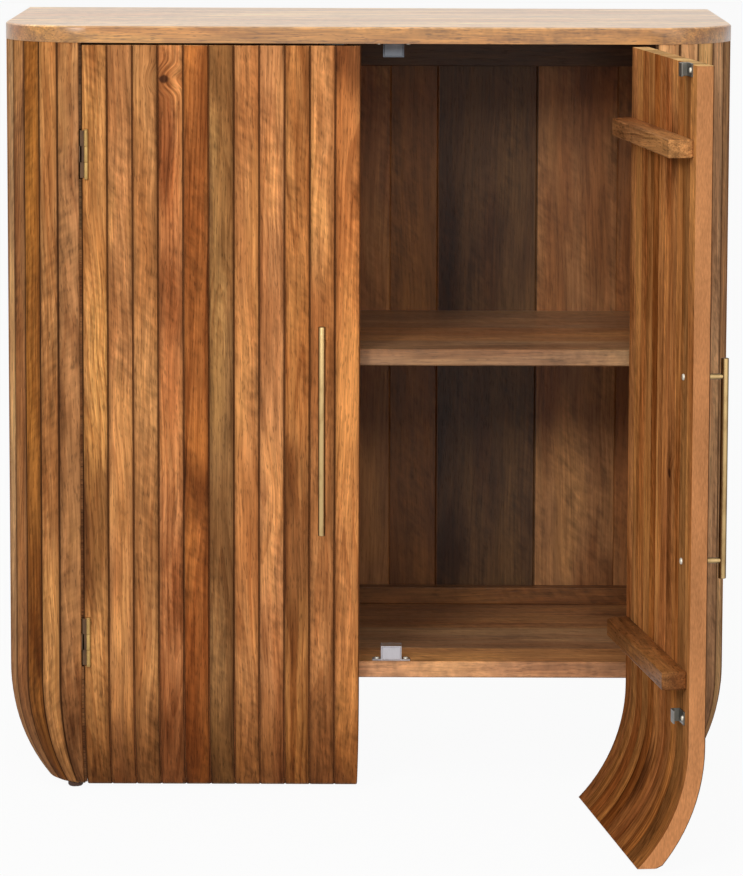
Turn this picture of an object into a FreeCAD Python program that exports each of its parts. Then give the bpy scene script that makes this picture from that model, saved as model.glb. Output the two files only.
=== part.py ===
import FreeCAD, Part
import math
import os
from FreeCAD import Vector

# A free-standing cabinet of solid wood. Its walls and both doors are coopered from upright slats whose
# feet curve inwards like a barrel, and its top board has the same rounded front corners.
# X runs to the right, Y to the back and Z up, in millimetres and degrees.
# The closed doors' outer faces lie in the plane y = 0 while the pieces are made.

# Carcass
width = 800.0
depth = 400.0
height = 855.0
top_thickness = 18.0
top_edge_chamfer = 1.6
corner_radius = 94.0
rear_corner_radius = 6.0
wall_thickness = 18.0
foot_curve_radius = 200.0
foot_curve_height = 127.0
foot_bevel_rise = 3.0
foot_bevel_run = 6.0
board_thickness = 18.0
board_setback = 7.0
board_edge_chamfer = 1.2
lower_room_height = 331.0
back_recess = 12.0
plank_thickness = 15.0
plank_widths = (110.0, 95.0, 105.0, 96.0, 55.0, 116.0, 95.0, 88.0)
plank_groove = 1.0
back_rail_height = 47.0
back_cleat_height = 20.0
back_rail_depth = 18.0
bearer_size = 20.0
glide_height = 6.0
glide_diameter = 17.0
glide_chamfer = 1.5
glide_turn = 35.0
rear_glide_margin = 30.0

# Slats
door_slat_count = 11
side_slat_count = 11
corner_slat_count = 5
stile_turn = 20.0
slat_chamfer = 1.2
stop_thickness = 8.0
stop_clearance = 1.4
stop_reach = 9.0

# Doors
hinge_gap = 3.0
meeting_gap = 2.0
meeting_x = -7.0
meeting_bevel = 2.5
door_top_gap = 2.7
right_door_turn = 98.3
batten_depth = 26.0
batten_height = 19.0
upper_batten_drop = 97.0
lower_batten_rise = 58.0
batten_hinge_margin = 12.5
batten_free_margin = 13.0
batten_nose = 8.0

# Hinges
hinge_length = 52.0
upper_hinge_drop = 121.0
lower_hinge_rise = 26.0
barrel_diameter = 4.5
barrel_proud = 1.5
barrel_inset = 5.0
knuckle_count = 3
knuckle_gap = 0.3
pin_diameter = 2.4
pin_clearance = 0.05
pin_cap_height = 1.4
leaf_thickness = 1.3
leaf_depth = 18.0

# Handles
handle_length = 230.0
handle_diameter = 8.0
handle_end_chamfer = 0.8
handle_standoff = 25.0
handle_hole_spacing = 192.0
handle_centre_height = 416.0
post_diameter = 6.0

# Catches
catch_inset = 34.5
catch_setback = 4.0
catch_width = 23.0
catch_height = 16.5
catch_depth = 20.0
catch_flange_width = 42.0
catch_flange_depth = 12.0
catch_flange_thickness = 1.5
magnet_width = 20.0
magnet_height = 13.5
magnet_depth = 9.0
magnet_proud = 0.5
magnet_clearance = 0.1
strike_gap = 0.3
strike_thickness = 1.5
strike_face_width = 14.0
strike_base_width = 22.0
strike_height = 14.0

# Small round pieces are many-sided, with few faces
barrel_sides = 8
post_sides = 8
glide_sides = 12

# Fits
joint_gap = 0.3
touch = 1e-4

half_width = width / 2
hinge_x = half_width - corner_radius
wall_top = height - top_thickness
door_top = wall_top - door_top_gap
curve_start = glide_height + foot_curve_height
inner_curve_radius = foot_curve_radius - wall_thickness
floor_top = curve_start + board_thickness
shelf_bottom = floor_top + lower_room_height
board_front = wall_thickness + board_setback
back_front = depth - back_recess - plank_thickness
inner_half_width = half_width - wall_thickness
corner_axis = Vector(-hinge_x, corner_radius, 0)
corner_slat_turn = (90 - stile_turn) / corner_slat_count
hinge_heights = (wall_top - upper_hinge_drop, curve_start + board_thickness + lower_hinge_rise)
handle_post_heights = tuple(handle_centre_height + side * handle_hole_spacing / 2 for side in (1, -1))
catch_bases = ((wall_top, -1), (floor_top, 1))
catch_front = board_front + catch_setback
strike_face = catch_front - magnet_proud - strike_gap
up = Vector(0, 0, 1)
inward = Vector(0, 1, 0)
sideways = Vector(1, 0, 0)


def polygon_prism(points, direction):
    """Solid swept from a closed outline of straight sides."""
    return Part.Face(Part.makePolygon(list(points) + [points[0]])).extrude(direction)


def cylinder(diameter, length, base, direction):
    """Round bar from its base point along a direction."""
    return Part.makeCylinder(diameter / 2, length, base, direction)


def box(low, high):
    """Box between its lowest and its highest corner."""
    size = high - low
    return Part.makeBox(size.x, size.y, size.z, low)


def mirrored(shape):
    """The same piece on the other side of the cabinet."""
    return shape.mirror(Vector(0, 0, 0), sideways)


def ring(radius, level, sides):
    """Regular outline of given sides about the Z axis at a level."""
    turns = [2 * math.pi * number / sides for number in range(sides)]
    points = [Vector(radius * math.cos(turn), radius * math.sin(turn), level) for turn in turns]
    return Part.makePolygon(points + [points[0]])


def faceted(profile, sides, place, direction):
    """Many-sided solid through rings of given radius and level, set on a place along a direction."""
    solid = Part.makeLoft([ring(radius, level, sides) for radius, level in profile], True, True)
    solid.Placement = FreeCAD.Placement(place, FreeCAD.Rotation(up, direction))
    return solid


def wall_point(radius, turn):
    """Point on a foot curve, turned down from the level where the curve starts."""
    angle = math.radians(turn)
    offset = Vector(-math.cos(angle), 0, -math.sin(angle)) * radius
    return Vector(foot_curve_radius, 0, curve_start) + offset


def wall_section(top):
    """Upright cut through a wall: X is the distance inwards from its outer face."""
    outer_turn = math.degrees(math.asin((foot_curve_height - foot_bevel_rise) / foot_curve_radius))
    inner_turn = math.degrees(math.asin(foot_curve_height / inner_curve_radius))
    outer_start = wall_point(foot_curve_radius, 0)
    outer_end = wall_point(foot_curve_radius, outer_turn)
    underside = outer_end + Vector(foot_bevel_run, 0, -foot_bevel_rise)
    inner_start = wall_point(inner_curve_radius, 0)
    inner_end = wall_point(inner_curve_radius, inner_turn)
    outer_top = Vector(0, 0, top)
    inner_top = Vector(wall_thickness, 0, top)
    curves = [
        Part.LineSegment(outer_top, outer_start),
        Part.Arc(outer_start, wall_point(foot_curve_radius, outer_turn / 2), outer_end),
        Part.LineSegment(outer_end, underside),
        Part.LineSegment(underside, inner_end),
        Part.Arc(inner_end, wall_point(inner_curve_radius, inner_turn / 2), inner_start),
        Part.LineSegment(inner_start, inner_top),
        Part.LineSegment(inner_top, outer_top),
    ]
    return Part.Face(Part.Wire([curve.toShape() for curve in curves]))


def foot_depths():
    """Distances inwards of the flat underside's outer and inner edges."""
    levels = [v.Point for v in wall_section(wall_top).Vertexes if abs(v.Point.z - glide_height) < touch]
    return min(p.x for p in levels), max(p.x for p in levels)


def front_section(top, x):
    """Wall cut placed across the front at a given x."""
    section = wall_section(top)
    section.rotate(Vector(0, 0, 0), up, 90)
    section.translate(Vector(x, 0, 0))
    return section


def outer_depth(level):
    """Distance inwards of the foot's outer curve at a level."""
    drop = max(curve_start - level, 0.0)
    return foot_curve_radius - math.sqrt(foot_curve_radius ** 2 - drop ** 2)


def front_slat(left, right, top, keep=None):
    """Slat in the plane of the front, trimmed to what it may keep, its outer edges chamfered."""
    slat = front_section(top, left).extrude(sideways * (right - left))
    if keep:
        slat = slat.common(keep).Solids[0]
    arrises = []
    for edge in slat.Edges:
        middle = edge.CenterOfMass
        in_outer_half = middle.y - outer_depth(middle.z) < wall_thickness / 2
        if in_outer_half and edge.BoundBox.ZLength > touch:
            arrises.append(edge)
    return slat.makeChamfer(slat_chamfer, arrises)


def corner_ray(turn):
    """Point far outside the left front corner, turned from the front towards the side."""
    angle = math.radians(turn)
    return corner_axis + Vector(-math.sin(angle), -math.cos(angle), 0) * width


def corner_slats():
    """Flat staves of the left front corner: the hinge stile and the tapering staves."""
    turns = [stile_turn] + [corner_slat_turn] * corner_slat_count
    hinge_side = box(Vector(-hinge_x - barrel_inset - hinge_gap, -width, 0), Vector(width, width, height))
    staves = []
    start = 0.0
    for turn in turns:
        middle = start + turn / 2
        wedge = polygon_prism([corner_axis, corner_ray(start), corner_ray(start + turn)], up * height)
        wedge = wedge.cut(hinge_side)
        wedge.rotate(corner_axis, up, middle)
        face_depth = corner_radius * (1 - math.cos(math.radians(turn / 2)))
        wedge.translate(-inward * face_depth)
        stave = front_slat(corner_axis.x - corner_radius, corner_axis.x + corner_radius, wall_top, wedge)
        stave.translate(inward * face_depth)
        stave.rotate(corner_axis, up, -middle)
        staves.append(stave)
        start += turn
    return Part.makeCompound(staves + [gap_stop(staves)])


def stop_section():
    """Upright cut through a stop strip, which follows the inside of the wall at a small distance."""
    near = wall_thickness + stop_clearance
    outer_radius = foot_curve_radius - near
    inner_radius = outer_radius - stop_thickness
    outer_turn = math.degrees(math.asin(foot_curve_height / outer_radius))
    inner_turn = math.degrees(math.asin(foot_curve_height / inner_radius))
    outer = [wall_point(outer_radius, turn) for turn in (0, outer_turn / 2, outer_turn)]
    inner = [wall_point(inner_radius, turn) for turn in (inner_turn, inner_turn / 2, 0)]
    outer_top = Vector(near, 0, curve_start)
    inner_top = Vector(near + stop_thickness, 0, curve_start)
    curves = [
        Part.Arc(outer[0], outer[1], outer[2]),
        Part.LineSegment(outer[2], inner[0]),
        Part.Arc(inner[0], inner[1], inner[2]),
        Part.LineSegment(inner_top, outer_top),
    ]
    return Part.Face(Part.Wire([curve.toShape() for curve in curves]))


def gap_stop(staves):
    """Strip behind the hinge gap of the left door's foot, scribed to the inside of the corner's staves."""
    section = stop_section()
    section.rotate(Vector(0, 0, 0), up, 90)
    left = -hinge_x - barrel_inset - hinge_gap - stop_reach
    section.translate(Vector(left, 0, 0))
    strip = section.extrude(sideways * (stop_reach + hinge_gap)).cut(staves)
    return max(strip.Solids, key=lambda solid: solid.Volume)


def side_slats():
    """Slats of the straight left wall, made in the plane of the front and turned to the side."""
    pitch = (depth - corner_radius) / side_slat_count
    slats = []
    for number in range(side_slat_count):
        right = corner_axis.x - number * pitch
        slat = front_slat(right - pitch, right, wall_top)
        slat.rotate(corner_axis, up, -90)
        slats.append(slat)
    return Part.makeCompound(slats)


def rounded_plan(front_left, side_start, rear_left, axis, radius):
    """Plan outline, mirrored about the middle, whose front corners follow a round about the corner axis."""
    def other(point):
        return Vector(-point.x, point.y, point.z)
    first = math.atan2(front_left.y - axis.y, front_left.x - axis.x)
    last = math.atan2(side_start.y - axis.y, side_start.x - axis.x)
    angle = (first % (2 * math.pi) + last % (2 * math.pi)) / 2
    middle = Vector(axis.x + radius * math.cos(angle), axis.y + radius * math.sin(angle), front_left.z)
    curves = [
        Part.Arc(front_left, middle, side_start),
        Part.LineSegment(side_start, rear_left),
        Part.LineSegment(rear_left, other(rear_left)),
        Part.LineSegment(other(rear_left), other(side_start)),
        Part.Arc(other(side_start), other(middle), other(front_left)),
        Part.LineSegment(other(front_left), front_left),
    ]
    return Part.Face(Part.Wire([curve.toShape() for curve in curves]))


def top_board():
    """Top board, flush with the walls, with softened edges."""
    plan = rounded_plan(
        Vector(-hinge_x, 0, wall_top), Vector(-half_width, corner_radius, wall_top),
        Vector(-half_width, depth, wall_top), corner_axis, corner_radius)
    board = plan.extrude(up * top_thickness)
    rear = [e for e in board.Edges if abs(e.BoundBox.YMin - depth) < touch and e.BoundBox.ZLength > touch]
    board = board.makeFillet(rear_corner_radius, rear)
    rim = [e for e in board.Edges if abs(e.BoundBox.ZMin - height) < touch]
    return board.makeChamfer(top_edge_chamfer, rim)


def inner_board(bottom):
    """Shelf or floor board: it follows the inside of the walls and stands back from the doors."""
    widest_turn = max(stile_turn, corner_slat_turn)
    radius = corner_radius * math.cos(math.radians(widest_turn / 2)) - wall_thickness - joint_gap
    front_x = corner_axis.x - math.sqrt(radius ** 2 - (corner_radius - board_front) ** 2)
    side_x = corner_axis.x - radius
    plan = rounded_plan(
        Vector(front_x, board_front, bottom), Vector(side_x, corner_radius, bottom),
        Vector(side_x, back_front, bottom), corner_axis, radius)
    board = plan.extrude(up * board_thickness)
    front = [e for e in board.Edges if abs(e.BoundBox.YMax - board_front) < touch]
    rims = [e for e in front if e.BoundBox.ZLength < touch]
    return board.makeChamfer(board_edge_chamfer, rims)


def back_planks():
    """Upright planks of the back, with a small V groove at each seam on the inner face."""
    run = 2 * (inner_half_width - joint_gap)
    scale = run / sum(plank_widths)
    planks = []
    left = -run / 2
    for share in plank_widths:
        right = left + share * scale
        plan = [
            Vector(left + plank_groove, back_front, curve_start),
            Vector(right - plank_groove, back_front, curve_start),
            Vector(right, back_front + plank_groove, curve_start),
            Vector(right, back_front + plank_thickness, curve_start),
            Vector(left, back_front + plank_thickness, curve_start),
            Vector(left, back_front + plank_groove, curve_start),
        ]
        planks.append(polygon_prism(plan, up * (wall_top - curve_start)))
        left = right
    return Part.makeCompound(planks)


def back_strip(bottom, strip_height):
    """Strip along the inside of the back, from wall to wall."""
    reach = inner_half_width - joint_gap
    low = Vector(-reach, back_front - back_rail_depth, bottom)
    return box(low, Vector(reach, back_front, bottom + strip_height))


def side_bearers():
    """Bearers on the side walls under the shelf and, scribed to the curved wall, under the floor board."""
    wall = wall_section(wall_top).extrude(inward * depth)
    wall.translate(Vector(-half_width, 0, 0))
    bearers = []
    for top in (shelf_bottom, curve_start):
        low = Vector(-inner_half_width, corner_radius, top - bearer_size)
        high = Vector(-inner_half_width + bearer_size, back_front, top)
        bearer = box(low, high).cut(wall).Solids[0]
        bearers += [bearer, mirrored(bearer)]
    return Part.makeCompound(bearers)


def glides():
    """Round glides under the corners and the rear ends of the side walls."""
    outer, inner = foot_depths()
    foot_middle = (outer + inner) / 2
    turn = math.radians(glide_turn)
    reach = corner_radius - foot_middle
    front = corner_axis + Vector(-math.sin(turn), -math.cos(turn), 0) * reach
    rear = Vector(-half_width + foot_middle, depth - rear_glide_margin, 0)
    radius = glide_diameter / 2
    profile = [(radius - glide_chamfer, 0), (radius, glide_chamfer), (radius, glide_height)]
    feet = []
    for place in (front, rear):
        foot = faceted(profile, glide_sides, place, up)
        feet += [foot, mirrored(foot)]
    return Part.makeCompound(feet)


def barrel(radius, low, high):
    """Many-sided length of hinge barrel, bore or pin about the hinge axis."""
    return faceted([(radius, low), (radius, high)], barrel_sides, Vector(0, 0, 0), up)


def knuckle_spans(own):
    """Lowest and highest levels of the knuckles of one leaf: the even ones are the frame's."""
    pitch = hinge_length / knuckle_count
    lows = [-hinge_length / 2 + number * pitch for number in range(own, knuckle_count, 2)]
    return [(low + knuckle_gap / 2, low + pitch - knuckle_gap / 2) for low in lows]


def hinge_leaf(own):
    """One leaf with straps to its knuckles about the hinge axis: 0 is the frame's and 1 the door's."""
    radius = barrel_diameter / 2
    front = radius - leaf_thickness
    left = -barrel_inset - (leaf_thickness if own else hinge_gap)
    right = left + leaf_thickness
    leaf = box(Vector(left, front, -hinge_length / 2), Vector(right, leaf_depth, hinge_length / 2))
    for low, high in knuckle_spans(1 - own):
        notch_low = Vector(left, front, low - knuckle_gap)
        leaf = leaf.cut(box(notch_low, Vector(right, radius + joint_gap, high + knuckle_gap)))
    for low, high in knuckle_spans(own):
        leaf = leaf.fuse([box(Vector(left, front, low), Vector(0, radius, high)), barrel(radius, low, high)])
    bore_radius = (pin_diameter / 2 + pin_clearance) / math.cos(math.pi / barrel_sides)
    return leaf.cut(barrel(bore_radius, -hinge_length, hinge_length)).removeSplitter().Solids[0]


def hinge_pin():
    """Pin with a low cap at each end of the barrel."""
    half = hinge_length / 2
    wide = barrel_diameter / 2
    pin = barrel(pin_diameter / 2, -half, half)
    return pin.fuse([barrel(wide, half, half + pin_cap_height), barrel(wide, -half - pin_cap_height, -half)])


def at_hinges(piece):
    """Copies of a hinge piece at both hinges of a door, about the door's hinge axis."""
    copies = []
    for level in hinge_heights:
        copy = piece.copy()
        copy.translate(Vector(0, -barrel_proud, level))
        copies.append(copy)
    return copies


def hinge_mortises():
    """Shallow recesses in the hinge edge of a door's outer face that take the barrels and straps."""
    reach = barrel_diameter / 2 + joint_gap
    half = hinge_length / 2 + pin_cap_height + joint_gap
    return [
        box(Vector(-barrel_inset, 0, level - half), Vector(reach, reach - barrel_proud, level + half))
        for level in hinge_heights]


def door_slats(start, leaf_width):
    """Slats of a door from its hinge edge, with the hinges' mortises, to its bevelled free edge."""
    pitch = leaf_width / door_slat_count
    free_x = start + leaf_width
    reach = foot_depths()[1] + wall_thickness
    bevel_run = reach * math.tan(math.radians(meeting_bevel))
    outline = [
        Vector(start, 0, 0),
        Vector(free_x, 0, 0),
        Vector(free_x - bevel_run, reach, 0),
        Vector(start, reach, 0),
    ]
    inside_bevel = polygon_prism(outline, up * height)
    edges = [start + number * pitch for number in range(door_slat_count)]
    slats = [front_slat(left, left + pitch, door_top, inside_bevel) for left in edges]
    slats[0] = slats[0].cut(hinge_mortises()).Solids[0]
    return slats


def handle_slat():
    """Number of the slat that carries the handle, the second from the free edge."""
    return door_slat_count - 2


def batten(start, leaf_width, bottom):
    """Inner batten across the slats, with its nose cut back at the hinge end."""
    left = start + batten_hinge_margin
    right = start + leaf_width - batten_free_margin
    inner = wall_thickness + batten_depth
    plan = [
        Vector(left, wall_thickness, bottom),
        Vector(right, wall_thickness, bottom),
        Vector(right, inner, bottom),
        Vector(left + batten_nose, inner, bottom),
        Vector(left, inner - batten_nose, bottom),
    ]
    return polygon_prism(plan, up * batten_height)


def handle_bar(x):
    """Round bar of the handle with chamfered ends."""
    base = Vector(x, -handle_standoff, handle_centre_height - handle_length / 2)
    bar = cylinder(handle_diameter, handle_length, base, up)
    rims = [e for e in bar.Edges if e.BoundBox.ZLength < touch]
    return bar.makeChamfer(handle_end_chamfer, rims)


def handle_posts(x):
    """Posts between the door and the bar, hollowed at the end to hold the bar."""
    bar = handle_bar(x)
    radius = post_diameter / 2
    profile = [(radius, 0), (radius, handle_standoff)]
    places = [Vector(x, 0, level) for level in handle_post_heights]
    return [faceted(profile, post_sides, place, -inward).cut(bar).Solids[0] for place in places]


def levels_from(base, toward, rise):
    """Lowest and highest level of a piece that stands on a board or, where toward is -1, hangs from it."""
    return sorted((base, base + toward * rise))


def catch_case(x, base, toward):
    """Case of a magnet catch on a board, with a screw flange and a pocket for the magnet."""
    low, high = levels_from(base, toward, catch_height)
    half = catch_width / 2
    back = catch_front + catch_depth
    body = box(Vector(x - half, catch_front, low), Vector(x + half, back, high))
    low, high = levels_from(base, toward, catch_flange_thickness)
    reach = catch_flange_width / 2
    flange = box(
        Vector(x - reach, catch_front, low), Vector(x + reach, catch_front + catch_flange_depth, high))
    pocket = magnet_block(x, base + toward * catch_height / 2, magnet_clearance)
    return body.fuse(flange).cut(pocket).removeSplitter().Solids[0]


def magnet_block(x, level, spare):
    """Magnet, or with some spare all round its pocket, that stands a little proud of the case."""
    front = catch_front - magnet_proud
    half = magnet_width / 2 + spare
    rise = magnet_height / 2 + spare
    return box(Vector(x - half, front, level - rise), Vector(x + half, front + magnet_depth, level + rise))


def catches():
    """Cases and magnets of the catches opposite the strikes of both doors, by name."""
    cases, magnets = [], []
    for side in (-1, 1):
        x = meeting_x + side * catch_inset
        for base, toward in catch_bases:
            cases.append(catch_case(x, base, toward))
            magnets.append(magnet_block(x, base + toward * catch_height / 2, 0))
    return {"catch_cases": Part.makeCompound(cases), "catch_magnets": Part.makeCompound(magnets)}


def strike(x, level):
    """Bent steel strike on a door's inner face: its base is screwed on and its face meets the magnet."""
    left = x - strike_face_width / 2
    back = wall_thickness
    plan = [
        Vector(left, back, 0),
        Vector(left + strike_base_width, back, 0),
        Vector(left + strike_base_width, back + strike_thickness, 0),
        Vector(left + strike_thickness, back + strike_thickness, 0),
        Vector(left + strike_thickness, strike_face - strike_thickness, 0),
        Vector(left + strike_face_width, strike_face - strike_thickness, 0),
        Vector(left + strike_face_width, strike_face, 0),
        Vector(left, strike_face, 0),
    ]
    piece = polygon_prism(plan, up * strike_height)
    piece.translate(up * (level - strike_height / 2))
    return piece


def door(side_name, free_x):
    """Pieces of a door hung on the left, by name: x is the distance from its hinge axis."""
    start = -barrel_inset
    leaf_width = free_x - start
    handle_x = start + (handle_slat() + 0.5) * leaf_width / door_slat_count
    catch_x = free_x + meeting_gap / 2 - catch_inset
    pieces = {}
    for number, slat in enumerate(door_slats(start, leaf_width)):
        pieces[f"{side_name}_door_slat_{number + 1:02d}"] = slat
    upper = wall_top - upper_batten_drop
    lower = curve_start + lower_batten_rise
    pieces[f"{side_name}_door_upper_batten"] = batten(start, leaf_width, upper)
    pieces[f"{side_name}_door_lower_batten"] = batten(start, leaf_width, lower)
    pieces[f"{side_name}_hinge_door_leaves"] = Part.makeCompound(at_hinges(hinge_leaf(1)))
    pieces[f"{side_name}_handle_bar"] = handle_bar(handle_x)
    pieces[f"{side_name}_handle_posts"] = Part.makeCompound(handle_posts(handle_x))
    strikes = [strike(catch_x, base + toward * catch_height / 2) for base, toward in catch_bases]
    pieces[f"{side_name}_catch_strikes"] = Part.makeCompound(strikes)
    return pieces


def frame_hinge_pieces():
    """Leaves and pins of the left door's hinges that stay with the frame, by name."""
    pieces = {"hinge_frame_leaves": at_hinges(hinge_leaf(0)), "hinge_pins": at_hinges(hinge_pin())}
    for solid in sum(pieces.values(), []):
        solid.translate(Vector(-hinge_x, 0, 0))
    return pieces


def carcass():
    """Fixed pieces by name."""
    pieces = {
        "top_board": top_board(),
        "floor_board": inner_board(curve_start),
        "shelf": inner_board(shelf_bottom),
        "back_planks": back_planks(),
        "back_top_rail": back_strip(wall_top - back_rail_height, back_rail_height),
        "back_floor_cleat": back_strip(floor_top, back_cleat_height),
        "side_bearers": side_bearers(),
        "glides": glides(),
        **catches(),
    }
    for name, shape in (("corner_slats", corner_slats()), ("side_slats", side_slats())):
        pieces[f"left_{name}"] = shape
        pieces[f"right_{name}"] = mirrored(shape)
    for name, solids in frame_hinge_pieces().items():
        pieces[name] = Part.makeCompound(solids + [mirrored(solid) for solid in solids])
    return pieces


def doors():
    """Both doors in place by name: the left one closed, the right one open."""
    pieces = {}
    for name, shape in door("left", meeting_x - meeting_gap / 2 + hinge_x).items():
        shape.translate(Vector(-hinge_x, 0, 0))
        pieces[name] = shape
    for name, shape in door("right", hinge_x - meeting_x - meeting_gap / 2).items():
        shape = mirrored(shape)
        shape.translate(Vector(hinge_x, 0, 0))
        shape.rotate(Vector(hinge_x, -barrel_proud, 0), up, right_door_turn)
        pieces[name] = shape
    return pieces


def floor_middle(pieces):
    """Middle of the floor area that the cabinet covers as it stands."""
    bounds = Part.makeCompound(list(pieces.values())).optimalBoundingBox(False)
    return Vector(bounds.Center.x, bounds.Center.y, bounds.ZMin)


cabinet = {**carcass(), **doors()}
origin = floor_middle(cabinet)

if __name__ == "__main__":
    os.makedirs("parts", exist_ok=True)
    for name, shape in cabinet.items():
        shape.translate(-origin)
        shape.exportStep(f"parts/{name}.step")
    print(len(cabinet), "nodes, origin", origin)
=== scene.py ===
"""Looks of a free-standing wooden cabinet with coopered slats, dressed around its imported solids.

Lengths are in metres. X runs to the right, Y to the back and Z up, as in the solids.
"""

import logging
import math
from collections.abc import Callable, Iterator, Sequence
from contextlib import contextmanager
from dataclasses import dataclass, field
from enum import Enum, IntEnum, StrEnum
from typing import NamedTuple

import bmesh
import bpy
from mathutils import Matrix, Vector


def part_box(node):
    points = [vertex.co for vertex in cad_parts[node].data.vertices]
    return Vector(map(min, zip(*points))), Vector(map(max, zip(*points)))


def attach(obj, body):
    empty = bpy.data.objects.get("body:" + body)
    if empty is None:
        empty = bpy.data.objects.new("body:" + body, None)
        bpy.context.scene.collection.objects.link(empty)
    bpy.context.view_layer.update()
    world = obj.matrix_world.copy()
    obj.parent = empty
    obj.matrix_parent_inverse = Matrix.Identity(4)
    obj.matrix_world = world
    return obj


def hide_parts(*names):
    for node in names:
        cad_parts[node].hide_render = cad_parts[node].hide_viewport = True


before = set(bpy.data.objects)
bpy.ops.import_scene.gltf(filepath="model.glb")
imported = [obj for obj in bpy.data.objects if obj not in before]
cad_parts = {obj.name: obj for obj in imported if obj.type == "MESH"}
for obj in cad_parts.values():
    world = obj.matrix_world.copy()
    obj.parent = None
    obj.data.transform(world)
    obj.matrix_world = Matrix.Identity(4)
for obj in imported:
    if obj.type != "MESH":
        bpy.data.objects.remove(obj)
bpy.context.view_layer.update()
LOG = logging.getLogger("cabinet")
MM = 0.001
NEAR = 0.01 * MM
BUMP_DEPTH = 0.6 * MM
WELD_REACH = 0.005 * MM
EASED_ANGLE = math.radians(25)
SMOOTH_ANGLE = math.radians(35)
BAR_FACES = 40
TURNED_FACES = 32
SMALL_FACES = 24
Colour = tuple[float, float, float]
Point = tuple[float, float, float]
Piece = bpy.types.Object
Material = bpy.types.Material
EdgeTest = Callable[[bmesh.types.BMEdge], bool]


class Side(StrEnum):
    """Sides of the cabinet as seen from the front."""

    LEFT = "left"
    RIGHT = "right"


class Leaf(IntEnum):
    """Leaves of a hinge, in the order of their knuckles from below."""

    FRAME = 0
    DOOR = 1


class Tone(Enum):
    """Tones of the lacquered wood, in sRGB, and how strongly their dark figure shows."""

    HONEY = (0.77, 0.535, 0.31, 0.70)
    TOFFEE = (0.73, 0.495, 0.30, 0.35)
    TAN = (0.725, 0.50, 0.30, 0.45)
    RUSSET = (0.755, 0.49, 0.295, 0.85)
    CHESTNUT = (0.635, 0.375, 0.185, 0.75)
    OLIVE = (0.565, 0.40, 0.24, 0.60)
    APRICOT = (0.755, 0.51, 0.305, 0.45)
    TERRACOTTA = (0.76, 0.51, 0.315, 0.55)
    AMBER = (0.755, 0.505, 0.285, 1.00)
    COPPER = (0.77, 0.505, 0.29, 0.65)
    CINNAMON = (0.60, 0.41, 0.25, 0.60)
    UMBER = (0.42, 0.27, 0.16, 0.55)
    COCOA = (0.495, 0.32, 0.175, 0.55)
    WALNUT = (0.32, 0.22, 0.14, 0.55)
    TAWNY = (0.60, 0.375, 0.17, 0.75)
    DRIFTWOOD = (0.58, 0.43, 0.30, 0.45)
    GOLD = (0.67, 0.465, 0.24, 0.40)
    # Painted sheen: the two pale tones of the top face stand for its glancing reflection.
    SHEEN_CREAM = (0.94, 0.76, 0.55, 0.10)
    SHEEN_WHEAT = (0.91, 0.73, 0.52, 0.12)
    FAWN = (0.65, 0.445, 0.275, 0.70)
    SIENNA = (0.625, 0.435, 0.27, 0.95)
    HEARTWOOD = (0.375, 0.26, 0.16, 1.00)
    OCHRE = (0.81, 0.61, 0.41, 0.45)
    KHAKI = (0.80, 0.60, 0.43, 0.40)
    BISCUIT = (0.785, 0.565, 0.39, 0.30)


def linear(colour: Sequence[float]) -> tuple[float, float, float, float]:
    """Scene-linear colour of an sRGB one.

    Args:
        colour: Red, green and blue from 0 to 1; more numbers are ignored.

    Returns:
        Linear red, green, blue and an alpha of 1.
    """
    def channel(value: float) -> float:
        """One channel made linear."""
        return value / 12.92 if value <= 0.04045 else ((value + 0.055) / 1.055) ** 2.4

    red, green, blue = (channel(value) for value in colour[:3])
    return red, green, blue, 1.0


class Signal:
    """Output of a node; arithmetic on it adds Math nodes to the same canvas."""

    def __init__(self, canvas: "Canvas", socket: bpy.types.NodeSocket) -> None:
        """Keep the socket and its canvas."""
        self.canvas = canvas
        self.socket = socket

    def __add__(self, other: "Value") -> "Signal":
        """Sum of this and another value."""
        return self.canvas.math("ADD", self, other)

    def __sub__(self, other: "Value") -> "Signal":
        """This less another value."""
        return self.canvas.math("SUBTRACT", self, other)

    def __rsub__(self, other: "Value") -> "Signal":
        """Another value less this."""
        return self.canvas.math("SUBTRACT", other, self)

    def __mul__(self, other: "Value") -> "Signal":
        """Product of this and another value."""
        return self.canvas.math("MULTIPLY", self, other)

    def __truediv__(self, other: "Value") -> "Signal":
        """This divided by another value."""
        return self.canvas.math("DIVIDE", self, other)

    def __abs__(self) -> "Signal":
        """Size of this without its sign."""
        return self.canvas.math("ABSOLUTE", self)


Value = Signal | float | Sequence[float] | None


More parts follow.
